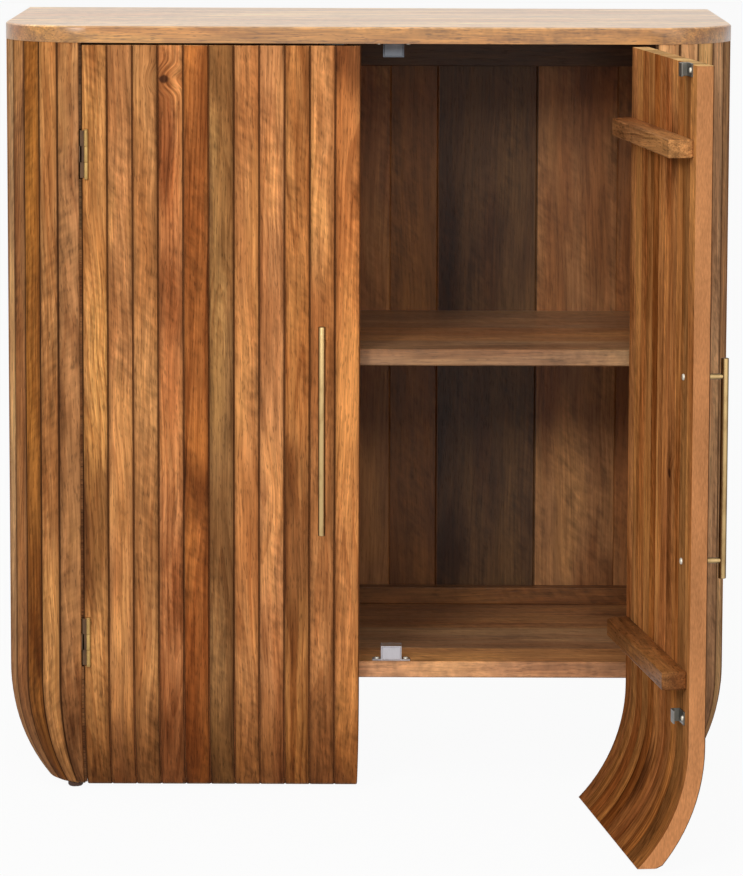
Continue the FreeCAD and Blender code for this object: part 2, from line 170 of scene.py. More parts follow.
class Canvas:
    """Adds nodes to one node tree and links them."""

    def __init__(self, tree: bpy.types.NodeTree) -> None:
        """Start on an empty tree."""
        self.tree = tree
        tree.nodes.clear()

    def add(self, kind: str, *inputs: Value, **settings: object) -> bpy.types.Node:
        """Add a node, set its properties and feed its inputs.

        Args:
            kind: Node type, such as ShaderNodeMath.
            inputs: What its first inputs get, in their order.
            settings: Properties of the node by name.

        Returns:
            The new node.
        """
        node = self.tree.nodes.new(kind)
        for name, value in settings.items():
            setattr(node, name, value)
        for socket, value in zip(node.inputs, inputs):
            self.feed(socket, value)
        return node

    def feed(self, socket: bpy.types.NodeSocket, value: Value) -> None:
        """Link a socket to a signal, or set its own value.

        Args:
            socket: An input of a node.
            value: What it gets, or None to leave it as it is.
        """
        if isinstance(value, Signal):
            self.tree.links.new(value.socket, socket)
        elif value is not None:
            socket.default_value = value

    def fill(self, node: bpy.types.Node, values: dict[str, Value]) -> None:
        """Feed a node's inputs by name."""
        for name, value in values.items():
            self.feed(node.inputs[name], value)

    def outputs(self, node: bpy.types.Node) -> dict[str, Signal]:
        """A node's outputs by name."""
        return {socket.name: Signal(self, socket) for socket in node.outputs}

    def out(self, kind: str, *inputs: Value, **settings: object) -> Signal:
        """First output of a new node."""
        return Signal(self, self.add(kind, *inputs, **settings).outputs[0])

    def math(self, operation: str, *values: Value) -> Signal:
        """Result of a Math node on up to three values."""
        return self.out("ShaderNodeMath", *values, operation=operation)

    def vector(self, operation: str, *values: Value) -> Signal:
        """Result of a Vector Math node: its value for a dot product or length, else its vector."""
        node = self.add("ShaderNodeVectorMath", *values, operation=operation)
        return Signal(self, node.outputs[1 if operation in ("DOT_PRODUCT", "LENGTH") else 0])

    def split(self, vector: Value) -> list[Signal]:
        """The x, y and z of a vector."""
        return list(self.outputs(self.add("ShaderNodeSeparateXYZ", vector)).values())

    def join(self, *parts: Value) -> Signal:
        """Vector from its x, y and z."""
        return self.out("ShaderNodeCombineXYZ", *parts)

    def step(self, value: Value, low: float, high: float) -> Signal:
        """Smooth step from 0 at low to 1 at high; low may be the larger one."""
        ends = (low, high, 0.0, 1.0) if low < high else (high, low, 1.0, 0.0)
        return self.out("ShaderNodeMapRange", value, *ends, interpolation_type="SMOOTHSTEP")

    def mix(self, factor: Value, first: Value, second: Value, blend: str = "MIX") -> Signal:
        """Colour mixed from two others; the five inputs for other kinds of data stay as they are."""
        inputs = (factor, *[None] * 5, first, second)
        return Signal(self, self.add("ShaderNodeMix", *inputs, data_type="RGBA", blend_type=blend).outputs[2])

    def tint(self, colour: Value, tones: Colour) -> Signal:
        """Colour multiplied channel by channel."""
        return self.mix(1.0, colour, (*tones, 1.0), "MULTIPLY")

    def darken(self, mask: Value, colour: Value, tones: Colour) -> Signal:
        """Colour multiplied channel by channel where a mask shows."""
        return self.mix(mask, colour, self.tint(colour, tones))

    def shade(self, colour: Value, light: Signal) -> Signal:
        """Colour made lighter or darker by a factor."""
        return self.mix(1.0, colour, self.join(light, light, light), "MULTIPLY")

    def noise(self, vector: Value, stretch: Point, seed: Value, detail: float) -> Signal:
        """Noise from 0 to 1 on coordinates stretched along each axis.

        Args:
            vector: Coordinates in metres.
            stretch: Cells per metre along x, y and z.
            seed: Fourth coordinate, which changes the pattern.
            detail: Octaves of finer noise.

        Returns:
            The noise value.
        """
        stretched = self.vector("MULTIPLY", vector, stretch)
        return self.out("ShaderNodeTexNoise", stretched, seed, 1.0, detail, noise_dimensions="4D")

    def group(self, tree: bpy.types.NodeTree, **values: Value) -> dict[str, Signal]:
        """Place a node group.

        Args:
            tree: The node group.
            values: Its inputs by name.

        Returns:
            Its outputs by name.
        """
        node = self.add("ShaderNodeGroup", node_tree=tree)
        self.fill(node, values)
        return self.outputs(node)


class EffectGroup(Canvas):
    """A shader node group with named inputs and outputs, built once and placed in several materials."""

    def __init__(self, name: str, inputs: dict[str, str], outputs: dict[str, str]) -> None:
        """Make the group's sockets.

        Args:
            name: Name of the group.
            inputs: Kinds of the inputs, Float, Color or Vector, by name.
            outputs: Kinds of the outputs by name.
        """
        super().__init__(bpy.data.node_groups.new(name, "ShaderNodeTree"))
        for direction, sockets in (("INPUT", inputs), ("OUTPUT", outputs)):
            for label, kind in sockets.items():
                self.tree.interface.new_socket(label, in_out=direction, socket_type=f"NodeSocket{kind}")
        self.given = self.outputs(self.add("NodeGroupInput"))
        self.sink = self.add("NodeGroupOutput")

    def give(self, **values: Signal) -> None:
        """Feed the group's outputs by name."""
        self.fill(self.sink, values)


class Grain(NamedTuple):
    """Noise stretched along the grain: cells per metre across and along it, shift of seed, octaves."""

    across: float
    along: float
    shift: float
    detail: float


class WoodFigure(EffectGroup):
    """Grain of one board that runs along Z: drifting tone, growth lines, flecks, fibres and pores."""

    FIBRE = Grain(640.0, 15.0, 0.0, 3.0)
    PORES = Grain(760.0, 95.0, 0.0, 1.0)
    DRIFT = Grain(20.0, 4.2, 0.0, 3.0)
    BLUSH = Grain(26.0, 3.0, 3.9, 2.0)
    RING_DRIFT = Grain(34.0, 4.0, 5.3, 2.0)
    RING_PATCH = Grain(24.0, 5.0, 8.1, 1.0)
    VEIN = Grain(46.0, 2.6, 4.7, 3.0)
    VEIN_PATCH = Grain(16.0, 4.0, 9.6, 1.0)
    FLECK = Grain(150.0, 14.0, 2.2, 3.0)
    CURL_PATCH = Grain(30.0, 5.5, 1.3, 1.0)
    CURL = (95.0, 95.0, 110.0)
    CURL_SHIFT = 6.4
    SWAY = (1.0, 1.0, 6.5)
    RINGS_PER_METRE = 210.0
    GOLD_TINT = (1.30, 1.34, 1.22)
    RED_TINT = (0.82, 0.66, 0.54)
    DEEP_TINT = (0.44, 0.33, 0.26)
    LATE_TINT = (0.46, 0.33, 0.25)
    VEIN_TINT = (0.36, 0.24, 0.17)

    def __init__(self) -> None:
        """Build the group."""
        super().__init__(
            "wood figure",
            {"Vector": "Vector", "Seed": "Float", "Body": "Color", "Streak": "Float", "Fine": "Float"},
            {"Color": "Color", "Roughness": "Float", "Height": "Float"})
        self.seed, self.streak, fine = (self.given[name] for name in ("Seed", "Streak", "Fine"))
        self.place = self._leaning()
        lines = self._growth_lines()
        fibre = self._grain(self.FIBRE)
        pores = self.step(self._grain(self.PORES), 0.56, 0.70)
        colour = self.darken(lines * (self.streak * 0.50 + 0.28) * fine, self._tone(), self.LATE_TINT)
        colour = self.darken(self._veins() * fine, colour, self.VEIN_TINT)
        light = ((fibre - 0.5) * 1.70 * fine + 1.0) * (pores * fine * -0.48 + 1.07) * self._flecks()
        self.give(
            Color=self.shade(colour, light),
            Roughness=pores * 0.14 + (fibre * 0.18 + 0.30),
            Height=pores * -0.55 + (fibre * 0.35 + lines * -0.25))

    def _grain(self, grain: Grain) -> Signal:
        """Noise along this board's grain."""
        stretch = (grain.across, grain.across, grain.along)
        return self.noise(self.place, stretch, self.seed + grain.shift, grain.detail)

    def _wave(self, rate: float, size: float) -> Signal:
        """An amount between size and its negative that changes with the seed."""
        return self.math("SINE", self.seed * rate) * size

    def _leaning(self) -> Signal:
        """Lean and wave the grain a little, by another amount for each seed.

        Returns:
            The board's coordinates.
        """
        across, depth, along = self.split(self.given["Vector"])
        sway = self.noise(self.join(0.0, 0.0, along), self.SWAY, self.seed, 1.0)
        return self.join(sway * 0.012 + (along * self._wave(2.7, 0.03) + across), depth, along)

    def _tone(self) -> Signal:
        """Let the body colour drift to gold, to red and, where the figure is strong, to dark patches.

        Returns:
            The colour.
        """
        body = self.given["Body"]
        drift = self._grain(self.DRIFT)
        gold, red, deep = (self.tint(body, tint) for tint in (self.GOLD_TINT, self.RED_TINT, self.DEEP_TINT))
        colour = self.mix(self.step(drift, 0.48, 0.62) * 0.90, body, gold)
        colour = self.mix(self.step(self._grain(self.BLUSH), 0.48, 0.66) * 0.75, colour, red)
        return self.mix(self.step(drift, 0.50, 0.34) * self.streak, colour, deep)

    def _growth_lines(self) -> Signal:
        """Draw the dark late wood of a board sawn beside the heart: nested arches along the grain.

        Returns:
            The mask, from 0 to 1.
        """
        across, _, along = self.split(self.place)
        offset = across - self._wave(5.1, 0.008)
        reach = along * self._wave(1.9, 0.045) + self.math("SQRT", offset * offset + 0.00012)
        reach = self._grain(self.RING_DRIFT) * 0.02 + reach
        rings = self.math("FRACT", reach * self.RINGS_PER_METRE)
        late = self.step(rings, 0.35, 0.90) * self.step(rings, 1.0, 0.92)
        return late * self.step(self._grain(self.RING_PATCH), 0.36, 0.62)

    def _veins(self) -> Signal:
        """Draw thin dark veins that wander along the grain in places, stronger with the figure.

        Returns:
            The mask, from 0 to 1.
        """
        near = abs(self._grain(self.VEIN) - 0.5)
        vein = self.step(near, 0.045, 0.004) * self.step(self._grain(self.VEIN_PATCH), 0.36, 0.54)
        return vein * (self.streak * 0.60 + 0.08)

    def _flecks(self) -> Signal:
        """Draw long flecks and, in patches, a slanting curl across the grain.

        Returns:
            Their brightness, about 1.
        """
        across, depth, along = self.split(self.place)
        slant = self.join(across, depth, across * 0.8 + along)
        curl = self.noise(slant, self.CURL, self.seed + self.CURL_SHIFT, 2.0)
        patch = self.step(self._grain(self.CURL_PATCH), 0.38, 0.62)
        return (curl - 0.5) * (patch * 1.10 + 0.20) + (self._grain(self.FLECK) * 1.30 + 0.35)


class SlatSeam(EffectGroup):
    """Where a point lies among slats side by side: the slat's number and how near the seam is."""

    # Widths of the painted shade in the groove, of its soft halo, and of the dark glue line.
    LINE = (2.2 * MM, 0.4 * MM)
    HALO = (6.0 * MM, 1.0 * MM)
    GLUE = (0.9 * MM, 0.2 * MM)

    def __init__(self) -> None:
        """Build the group."""
        super().__init__(
            "slat seam",
            {"Slats": "Float", "Width": "Float", "Outward": "Float"},
            {"Number": "Float", "Seam": "Float"})
        slats = self.given["Slats"]
        across = self.math("FRACT", slats)
        distance = self.math("MINIMUM", across, 1.0 - across) * self.given["Width"]
        outer = self.step(self.given["Outward"], 0.15, 0.55)
        # Painted shade in the V-groove between slats, with a soft halo of it beside the groove, on outer
        # faces only; the glue line is the real dark joint.
        groove_shade = self.math("MAXIMUM", self.step(distance, *self.LINE), self.step(distance, *self.HALO) * 0.34)
        glue = self.step(distance, *self.GLUE) * 0.6
        self.give(Seam=self.math("MAXIMUM", groove_shade * outer, glue), Number=self.math("FLOOR", slats))


class Knot(EffectGroup):
    """A knot in a board: it bends the grain round itself and darkens its core."""

    WOBBLE = (260.0, 260.0, 180.0)
    WOBBLE_SEED = 1.7
    CORE_SHAPE = (1.0, 0.0, 1.3)
    HEART_SHAPE = (1.0, 0.0, 0.12)
    HEART_DROP = (0.0, 0.0, 0.05)
    PUSH = 0.012

    def __init__(self) -> None:
        """Build the group."""
        super().__init__(
            "knot",
            {"Vector": "Vector", "Board": "Vector", "Place": "Vector", "Radius": "Float"},
            {"Board": "Vector", "Core": "Float", "Heart": "Float"})
        offset = self.vector("SUBTRACT", self.given["Vector"], self.given["Place"])
        reach = self._reach(offset, self.CORE_SHAPE)
        spread = self._reach(self.vector("ADD", offset, self.HEART_DROP), self.HEART_SHAPE)
        wobble = self.noise(self.given["Vector"], self.WOBBLE, self.WOBBLE_SEED, 2.0)
        across, depth, along = self.split(self.given["Board"])
        self.give(
            Core=self.step(wobble * 0.7 + reach, 1.55, 0.95),
            Heart=self.step(wobble * 0.8 + spread, 2.9, 1.5),
            Board=self.join(across + self.step(reach, 5.0, 0.5) * self.PUSH, depth, along))

    def _reach(self, offset: Signal, shape: Point) -> Signal:
        """Length of an offset, stretched to a shape, in radii of the knot."""
        return self.vector("LENGTH", self.vector("MULTIPLY", offset, shape)) / self.given["Radius"]


class MetalGrain(EffectGroup):
    """Fine drawn lines, slow tarnish and small pits of a metal surface."""

    LINES = (2600.0, 2600.0, 70.0)
    CLOUD = (70.0, 70.0, 45.0)
    PITS = (900.0, 900.0, 900.0)

    def __init__(self) -> None:
        """Build the group."""
        super().__init__(
            "metal grain",
            {"Vector": "Vector", "Body": "Color", "Tarnish": "Color", "Roughness": "Float"},
            {"Color": "Color", "Roughness": "Float", "Height": "Float"})
        place, tarnish = self.given["Vector"], self.given["Tarnish"]
        lines = self.noise(place, self.LINES, 0.4, 2.0)
        cloud = self.noise(place, self.CLOUD, 2.2, 3.0)
        pits = self.step(self.noise(place, self.PITS, 4.6, 1.0), 0.66, 0.80)
        colour = self.mix(self.step(cloud, 0.45, 0.78), self.given["Body"], tarnish)
        colour = self.shade(colour, lines * 0.22 + 0.89)
        self.give(
            Color=self.mix(pits * 0.5, colour, tarnish),
            Roughness=lines * 0.12 + (cloud * 0.20 + self.given["Roughness"]),
            Height=lines - pits)


class Effects:
    """The node groups that the finishes share."""

    def __init__(self) -> None:
        """Build each group once."""
        self.wood = WoodFigure().tree
        self.seam = SlatSeam().tree
        self.knot = Knot().tree
        self.metal = MetalGrain().tree


@dataclass(frozen=True)
class Place:
    """A sub-assembly's own axes: across its boards, inwards from its outer face, and up.

    The cabinet is first mirrored where the piece is on the other side, then turned about Z and moved.
    """

    mirrored: bool = False
    turn: float = 0.0
    shift: Point = (0.0, 0.0, 0.0)

    @staticmethod
    def about(mirrored: bool, turn_degrees: float, origin: Sequence[float]) -> "Place":
        """Axes whose origin is a point of the cabinet.

        Args:
            mirrored: Whether left and right change places first.
            turn_degrees: Turn about Z that follows.
            origin: The point, as it is before any mirroring.

        Returns:
            The axes.
        """
        turn = math.radians(turn_degrees)
        start = Vector((-origin[0] if mirrored else origin[0], origin[1], origin[2]))
        return Place(mirrored, turn, tuple(-(Matrix.Rotation(turn, 3, "Z") @ start)))

    @property
    def scale(self) -> Point:
        """Scale that mirrors the cabinet where needed."""
        return (-1.0 if self.mirrored else 1.0, 1.0, 1.0)

    def from_cabinet(self) -> Matrix:
        """Matrix from the cabinet's axes to these."""
        mirror = Matrix.Diagonal((*self.scale, 1.0))
        return Matrix.Translation(self.shift) @ Matrix.Rotation(self.turn, 4, "Z") @ mirror

    def to_cabinet(self) -> Matrix:
        """Matrix from these axes to the cabinet's."""
        return self.from_cabinet().inverted()

    def mapped(self, canvas: Canvas, vector: Signal, kind: str = "POINT") -> Signal:
        """Coordinates or a direction in these axes.

        Args:
            canvas: Canvas of the material.
            vector: Object coordinates or normal.
            kind: POINT for coordinates, NORMAL for a direction.

        Returns:
            The mapped vector.
        """
        node = canvas.add("ShaderNodeMapping", vector, vector_type=kind)
        canvas.fill(node, {"Rotation": (0.0, 0.0, self.turn), "Scale": self.scale})
        if kind == "POINT":
            canvas.feed(node.inputs["Location"], self.shift)
        return Signal(canvas, node.outputs[0])


class Paint(Canvas):
    """Canvas of a new material, with its Principled shader and its texture coordinates."""

    def __init__(self, name: str, constants: dict[str, float]) -> None:
        """Make the material.

        Args:
            name: Name of the material.
            constants: Values of the shader's inputs by name.
        """
        self.material = bpy.data.materials.new(name)
        self.material.use_nodes = True
        super().__init__(self.material.node_tree)
        self.shader = self.add("ShaderNodeBsdfPrincipled")
        self.add("ShaderNodeOutputMaterial", Signal(self, self.shader.outputs[0]))
        self.fill(self.shader, constants)
        self.given = self.outputs(self.add("ShaderNodeTexCoord"))

    def tone_ramp(
        self, position: Signal, tones: Sequence[Tone], starts: Sequence[float]
    ) -> dict[str, Signal]:
        """Ramp that gives each board its tone, with the figure's strength as alpha.

        Args:
            position: Where the point is, from 0 to 1 over all the boards.
            tones: Tone of each board in order.
            starts: Where each board starts, from 0 to 1.

        Returns:
            The ramp's outputs by name.
        """
        node = self.add("ShaderNodeValToRGB", position)
        ramp = node.color_ramp
        ramp.interpolation = "CONSTANT"
        for number, (tone, start) in enumerate(zip(tones, starts)):
            stop = ramp.elements[number] if number < 2 else ramp.elements.new(start)
            stop.position = start
            stop.color = (*linear(tone.value)[:3], tone.value[3])
        return self.outputs(node)


@dataclass(frozen=True)
class Finish:
    """A finish with its own material. Lacquer, gloss and bump are the same all over the piece."""

    name: str
    coat: float = 0.0
    coat_roughness: float = 0.2
    metallic: float = 0.0
    specular: float = 0.5
    bump: float = 0.2

    def material(self, effects: Effects) -> Material:
        """Build the material.

        Args:
            effects: The shared node groups.

        Returns:
            The material.
        """
        paint = Paint(self.name, {
            "Coat Weight": self.coat, "Coat Roughness": self.coat_roughness, "Metallic": self.metallic,
            "Specular IOR Level": self.specular})
        look = self.look(paint, effects)
        bump = paint.add("ShaderNodeBump")
        paint.fill(bump, {"Strength": self.bump, "Distance": BUMP_DEPTH, "Height": look["Height"]})
        normal = Signal(paint, bump.outputs[0])
        paint.fill(paint.shader, {
            "Base Color": look["Color"], "Roughness": look["Roughness"], "Normal": normal})
        return paint.material

    def look(self, paint: Paint, effects: Effects) -> dict[str, Signal]:
        """Paint the surface.

        Args:
            paint: Canvas of the material.
            effects: The shared node groups.

        Returns:
            Color, Roughness and Height by name.
        """
        raise NotImplementedError


class Spread(Enum):
    """How the boards of a wall lie side by side."""

    STRAIGHT = "straight"
    CORNER = "corner"


@dataclass(frozen=True)
class SlatFinish(Finish):
    """Lacquered slats side by side, each with its own tone and figure, with painted shade in the grooves
    between them and towards the foot.
    """

    LACQUERED = (0.1, 0.5)
    INNER_FACE = (-0.35, -0.75)
    SAWN_END = (0.85, 0.97)
    SAWN_EDGE = (0.75, 0.95)
    EDGE_CLOUD = (60.0, 60.0, 14.0)
    EDGE_SPECK = (700.0, 700.0, 160.0)
    FLAME = (110.0, 20.0, 11.0)
    OUTWARD = (0.0, -1.0, 0.0)

    coat: float = 0.10
    coat_roughness: float = 0.35
    specular: float = 0.0
    bump: float = 0.35
    tones: tuple[Tone, ...] = ()
    place: Place = Place()
    start: float = 0.0
    pitch: float = 1.0
    first_turn: float = 0.0
    radius: float = 0.0
    spread: Spread = Spread.STRAIGHT
    seed: float = 0.0
    seed_step: float = 7.31
    fine: float = 0.85
    through: float = 0.12
    # How strongly, and between which levels, the slats are painted darker towards the foot: painted shade.
    darken: float = 0.9
    foot_shade_levels: tuple[float, float] = (0.19, 0.03)
    lighter_foot_levels: tuple[float, float] = (0.25, 0.06)
    knots: tuple[Point, ...] = ()
    hearts: tuple[tuple[int, float, float], ...] = ()
    # Colour of the seams: painted shade in the grooves, and the dark glue of the joints.
    seam_shade_and_glue: Colour = (0.19, 0.095, 0.045)
    lining: Colour = (0.65, 0.42, 0.215)
    edge: Colour = (0.74, 0.50, 0.32)
    end: Colour = (0.88, 0.72, 0.50)
    core: Colour = (0.20, 0.10, 0.06)
    knot_tint: Colour = (0.46, 0.37, 0.33)
    heart_tint: Colour = (0.36, 0.31, 0.32)
    foot_shade_tint: Colour = (0.50, 0.42, 0.36)

    def look(self, paint: Paint, effects: Effects) -> dict[str, Signal]:
        """Paint the slats, with lacquer on their outer faces only.

        Args:
            paint: Canvas of the material.
            effects: The shared node groups.

        Returns:
            Color, Roughness and Height by name.
        """
        whole = self.place.mapped(paint, paint.given["Object"])
        normal = self.place.mapped(paint, paint.given["Normal"], "NORMAL")
        straight = self.spread is Spread.STRAIGHT
        if straight:
            slats = (paint.split(whole)[0] - self.start) / self.pitch
            outward = paint.vector("DOT_PRODUCT", normal, self.OUTWARD)
            width = self.pitch
        else:
            slats, whole, outward, width = self._round_the_corner(paint, whole, normal)
        _, inwards, along = paint.split(whole)
        local = paint.join((paint.math("FRACT", slats) - 0.5) * width, inwards * self.through, along)
        seam = paint.group(effects.seam, Slats=slats, Width=width, Outward=outward)
        count = len(self.tones)
        position = (slats - (0.0 if straight else -1.0)) / float(count)
        ramp = paint.tone_ramp(position, self.tones, [number / count for number in range(count)])
        body = self._faces(paint, ramp["Color"], normal, outward)
        knots = []
        for across, level, size in self.knots:
            knots.append(
                paint.group(effects.knot, Vector=whole, Board=local, Place=(across, 0.0, level), Radius=size))
            local = knots[-1]["Board"]
        seed = seam["Number"] * self.seed_step + self.seed
        wood = paint.group(
            effects.wood, Vector=local, Seed=seed, Body=body, Streak=ramp["Alpha"], Fine=self.fine)
        colour = wood["Color"]
        for knot in knots:
            colour = paint.darken(knot["Heart"] * 0.85, colour, self.knot_tint)
            colour = paint.mix(knot["Core"] * 0.85, colour, linear(self.core))
        for heart in self.hearts:
            dark = self._dark_heart(paint, local, seam["Number"], heart)
            colour = paint.darken(dark, colour, self.heart_tint)
        # Painted shade: the slats are painted darker towards the foot, where less light reaches.
        colour = paint.darken(paint.step(along, *self.foot_shade_levels) * self.darken, colour, self.foot_shade_tint)
        # Seam colour: painted shade in the grooves, and the dark glue of the joints.
        colour = paint.mix(seam["Seam"] * 0.9, colour, linear(self.seam_shade_and_glue))
        if straight:
            colour = self._sawn_edge(paint, colour, whole, normal)
        paint.fill(paint.shader, {"Coat Weight": paint.step(outward, *self.LACQUERED) * self.coat})
        return {**wood, "Color": colour}

    def _sawn_edge(self, paint: Paint, colour: Signal, whole: Signal, normal: Signal) -> Signal:
        """Add the plain, finely speckled wood of a door's free edge, lighter towards the foot.

        Args:
            paint: Canvas of the material.
            colour: Colour of the slats.
            whole: Coordinates in the door's axes.
            normal: Direction of the surface in the door's axes.

        Returns:
            The colour.
        """
        cloud = paint.noise(whole, self.EDGE_CLOUD, self.seed, 3.0)
        speck = paint.noise(whole, self.EDGE_SPECK, self.seed + 1.0, 2.0)
        # The edge is made lighter towards the foot.
        lighter_foot = paint.step(paint.split(whole)[2], *self.lighter_foot_levels)
        light = (cloud * 0.80 + (speck * 0.80 + 0.20)) * (lighter_foot * 0.30 + 1.0)
        flank = paint.step(abs(paint.split(normal)[0]), *self.SAWN_EDGE) * 0.9
        return paint.mix(flank, colour, paint.shade(linear(self.edge), light))

    def _dark_heart(
        self, paint: Paint, local: Signal, number: Signal, heart: tuple[int, float, float]
    ) -> Signal:
        """How far a slat's dark heartwood shows.

        Args:
            paint: Canvas of the material.
            local: Coordinates of the slat's board.
            number: Number of the slat at this place.
            heart: Number of the slat with the heart, the heart's middle level and its half length.

        Returns:
            The mask, from 0 to 1.
        """
        slat, level, half_length = heart
        flame = paint.noise(local, self.FLAME, self.seed + slat, 3.0)
        reach = flame * 1.6 + abs(paint.split(local)[2] - level) / half_length
        here = paint.math("COMPARE", number, float(slat), 0.5)
        return paint.step(reach, 1.80, 0.90) * (here * 0.85)

    def _faces(self, paint: Paint, body: Signal, normal: Signal, outward: Signal) -> Signal:
        """Body colour with the tones of the inner faces and of the sawn ends.

        Args:
            paint: Canvas of the material.
            body: Colour of the slat's outer face.
            normal: Direction of the surface in the wall's axes.
            outward: How far the surface faces outwards, from -1 to 1.

        Returns:
            The colour.
        """
        inner = paint.step(outward, *self.INNER_FACE) * 0.40
        colour = paint.mix(inner, body, linear(self.lining))
        sawn = paint.step(abs(paint.split(normal)[2]), *self.SAWN_END) * 0.9
        return paint.mix(sawn, colour, linear(self.end))

    def _round_the_corner(
        self, paint: Paint, local: Signal, normal: Signal
    ) -> tuple[Signal, Signal, Signal, float]:
        """Find the place among staves that stand about the corner's axis.

        Args:
            paint: Canvas of the material.
            local: Coordinates in the corner's axes.
            normal: Direction of the surface in the corner's axes.

        Returns:
            Slat count, board coordinates, how far the surface faces outwards, and width of a stave.
        """
        side, front, along = paint.split(local)
        turn = paint.math("DEGREES", paint.math("ARCTAN2", side, front))
        past_first = turn - self.first_turn
        in_first = paint.math("LESS_THAN", past_first, 0.0)
        slats = past_first / (in_first * (self.first_turn - self.pitch) + self.pitch)
        flat = paint.join(side, front, 0.0)
        across = paint.math("RADIANS", turn) * self.radius
        board = paint.join(across, paint.vector("LENGTH", flat), along)
        outward = paint.vector("DOT_PRODUCT", normal, paint.vector("NORMALIZE", flat))
        return slats, board, outward, math.radians(self.pitch) * self.radius


@dataclass(frozen=True)
class BoardFinish(Finish):
    """Lacquered boards of unequal width side by side, with the grain along one axis."""

    tones: tuple[Tone, ...] = ()
    shares: tuple[float, ...] = (1, 1)
    span: tuple[float, float] = (0.0, 0.95)
    place: Place = Place()
    order: tuple[int, int, int] = (2, 1, 0)
    seed: float = 0.0
    seed_step: float = 5.77
    fine: float = 1.0
    rim: Tone | None = None

    def look(self, paint: Paint, effects: Effects) -> dict[str, Signal]:
        """Paint the boards.

        Args:
            paint: Canvas of the material.
            effects: The shared node groups.

        Returns:
            Color, Roughness and Height by name.
        """
        axes = paint.split(self.place.mapped(paint, paint.given["Object"]))
        across, depth, along = (axes[number] for number in self.order)
        low, high = self.span
        position = (across - low) / (high - low)
        starts = [sum(self.shares[:number]) / sum(self.shares) for number in range(len(self.shares))]
        ramp = paint.tone_ramp(position, self.tones, starts)
        body = ramp["Color"]
        if self.rim:
            level = abs(paint.split(paint.given["Normal"])[2])
            body = paint.mix(paint.step(level, 0.85, 0.55), body, linear(self.rim.value))
        seed = self.seed
        for start in starts[1:]:
            seed = paint.math("GREATER_THAN", position, start) * self.seed_step + seed
        return paint.group(
            effects.wood, Vector=paint.join(across, depth, along), Seed=seed, Body=body,
            Streak=ramp["Alpha"], Fine=self.fine)


@dataclass(frozen=True)
class MetalFinish(Finish):
    """Satin metal with drawn lines along Z and slow tarnish; where set, painted shade above a level and on
    faces that point up, and a painted dark reflection on faces turned from the view.
    """

    body: Colour = (0.7, 0.7, 0.7)
    tarnish: Colour = (0.4, 0.4, 0.4)
    roughness: float = 0.25
    # Painted shade: a darker body above a level, and on faces that point up.
    upper_body: Colour | None = None
    shade_level: float = 0.5
    top_body: Colour | None = None
    # Painted dark reflection on faces turned from the view: its strength and tint.
    flank: float = 0.0
    flank_shade_tint: Colour = (0.16, 0.12, 0.08)

    def look(self, paint: Paint, effects: Effects) -> dict[str, Signal]:
        """Paint the metal.

        Args:
            paint: Canvas of the material.
            effects: The shared node groups.

        Returns:
            Color, Roughness and Height by name.
        """
        place = paint.given["Object"]
        body: Value = linear(self.body)
        # Painted shade: faces that point up are painted a darker brownish grey.
        if self.top_body:
            facing_up = paint.step(paint.split(paint.given["Normal"])[2], 0.6, 0.9)
            body = paint.mix(facing_up, body, linear(self.top_body))
        # Painted shade: pieces above the level, the catch under the top board, are painted darker.
        if self.upper_body:
            in_shade = paint.math("GREATER_THAN", paint.split(place)[2], self.shade_level)
            body = paint.mix(in_shade, body, linear(self.upper_body))
        grain = paint.group(
            effects.metal, Vector=place, Body=body, Tarnish=linear(self.tarnish), Roughness=self.roughness)
        # Painted dark reflection: faces turned from the view are painted darker, like the dark sides of a
        # round bar.
        if self.flank:
            facing = paint.outputs(paint.add("ShaderNodeLayerWeight"))["Facing"]
            turned = paint.step(facing, 0.12, 0.55) * self.flank
            grain["Color"] = paint.darken(turned, grain["Color"], self.flank_shade_tint)
        return grain


@dataclass(frozen=True)
class GlideFinish(Finish):
    """Dark moulded plastic, a little scuffed."""

    SPECK = (900.0, 900.0, 900.0)
    CLOUD = (160.0, 160.0, 160.0)

    body: Colour = (0.26, 0.15, 0.085)
    scuff: Colour = (0.38, 0.24, 0.14)

    def look(self, paint: Paint, effects: Effects) -> dict[str, Signal]:
        """Paint the plastic, without any of the shared groups.

        Args:
            paint: Canvas of the material.
            effects: The shared node groups.

        Returns:
            Color, Roughness and Height by name.
        """
        speck = paint.noise(paint.given["Object"], self.SPECK, 0.3, 3.0)
        cloud = paint.noise(paint.given["Object"], self.CLOUD, 3.1, 3.0)
        worn = paint.step(cloud, 0.5, 0.75) * speck
        colour = paint.mix(worn, linear(self.body), linear(self.scuff))
        return {"Color": colour, "Roughness": speck * 0.3 + 0.45, "Height": speck}


def dress(names: Sequence[str], material: Material, eased: float = 0.0) -> None:
    """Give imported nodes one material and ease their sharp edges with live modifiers.

    Args:
        names: Nodes to dress.
        material: Their material.
        eased: Width of the rounded edge, or 0 for none.
    """
    for name in names:
        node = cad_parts[name]
        node.data.materials.clear()
        node.data.materials.append(material)
        LOG.info("dressed %s with %s", name, material.name)
        if eased:
            weld = node.modifiers.new("weld", "WELD")
            weld.merge_threshold = WELD_REACH
            bevel = node.modifiers.new("ease", "BEVEL")
            bevel.width = eased
            bevel.segments = 2
            bevel.limit_method = "ANGLE"
            bevel.angle_limit = EASED_ANGLE
            bevel.harden_normals = True


def every_edge(edge: bmesh.types.BMEdge) -> bool:
    """Choose any edge."""
    return edge.is_valid


def level_edge(edge: bmesh.types.BMEdge) -> bool:
    """Choose an edge that runs round the end of an upright blank."""
    return abs(edge.verts[0].co.z - edge.verts[1].co.z) < NEAR


def edge_at(level: float) -> EdgeTest:
    """Test that chooses the edges at one level."""
    return lambda edge: all(abs(vertex.co.z - level) < NEAR for vertex in edge.verts)


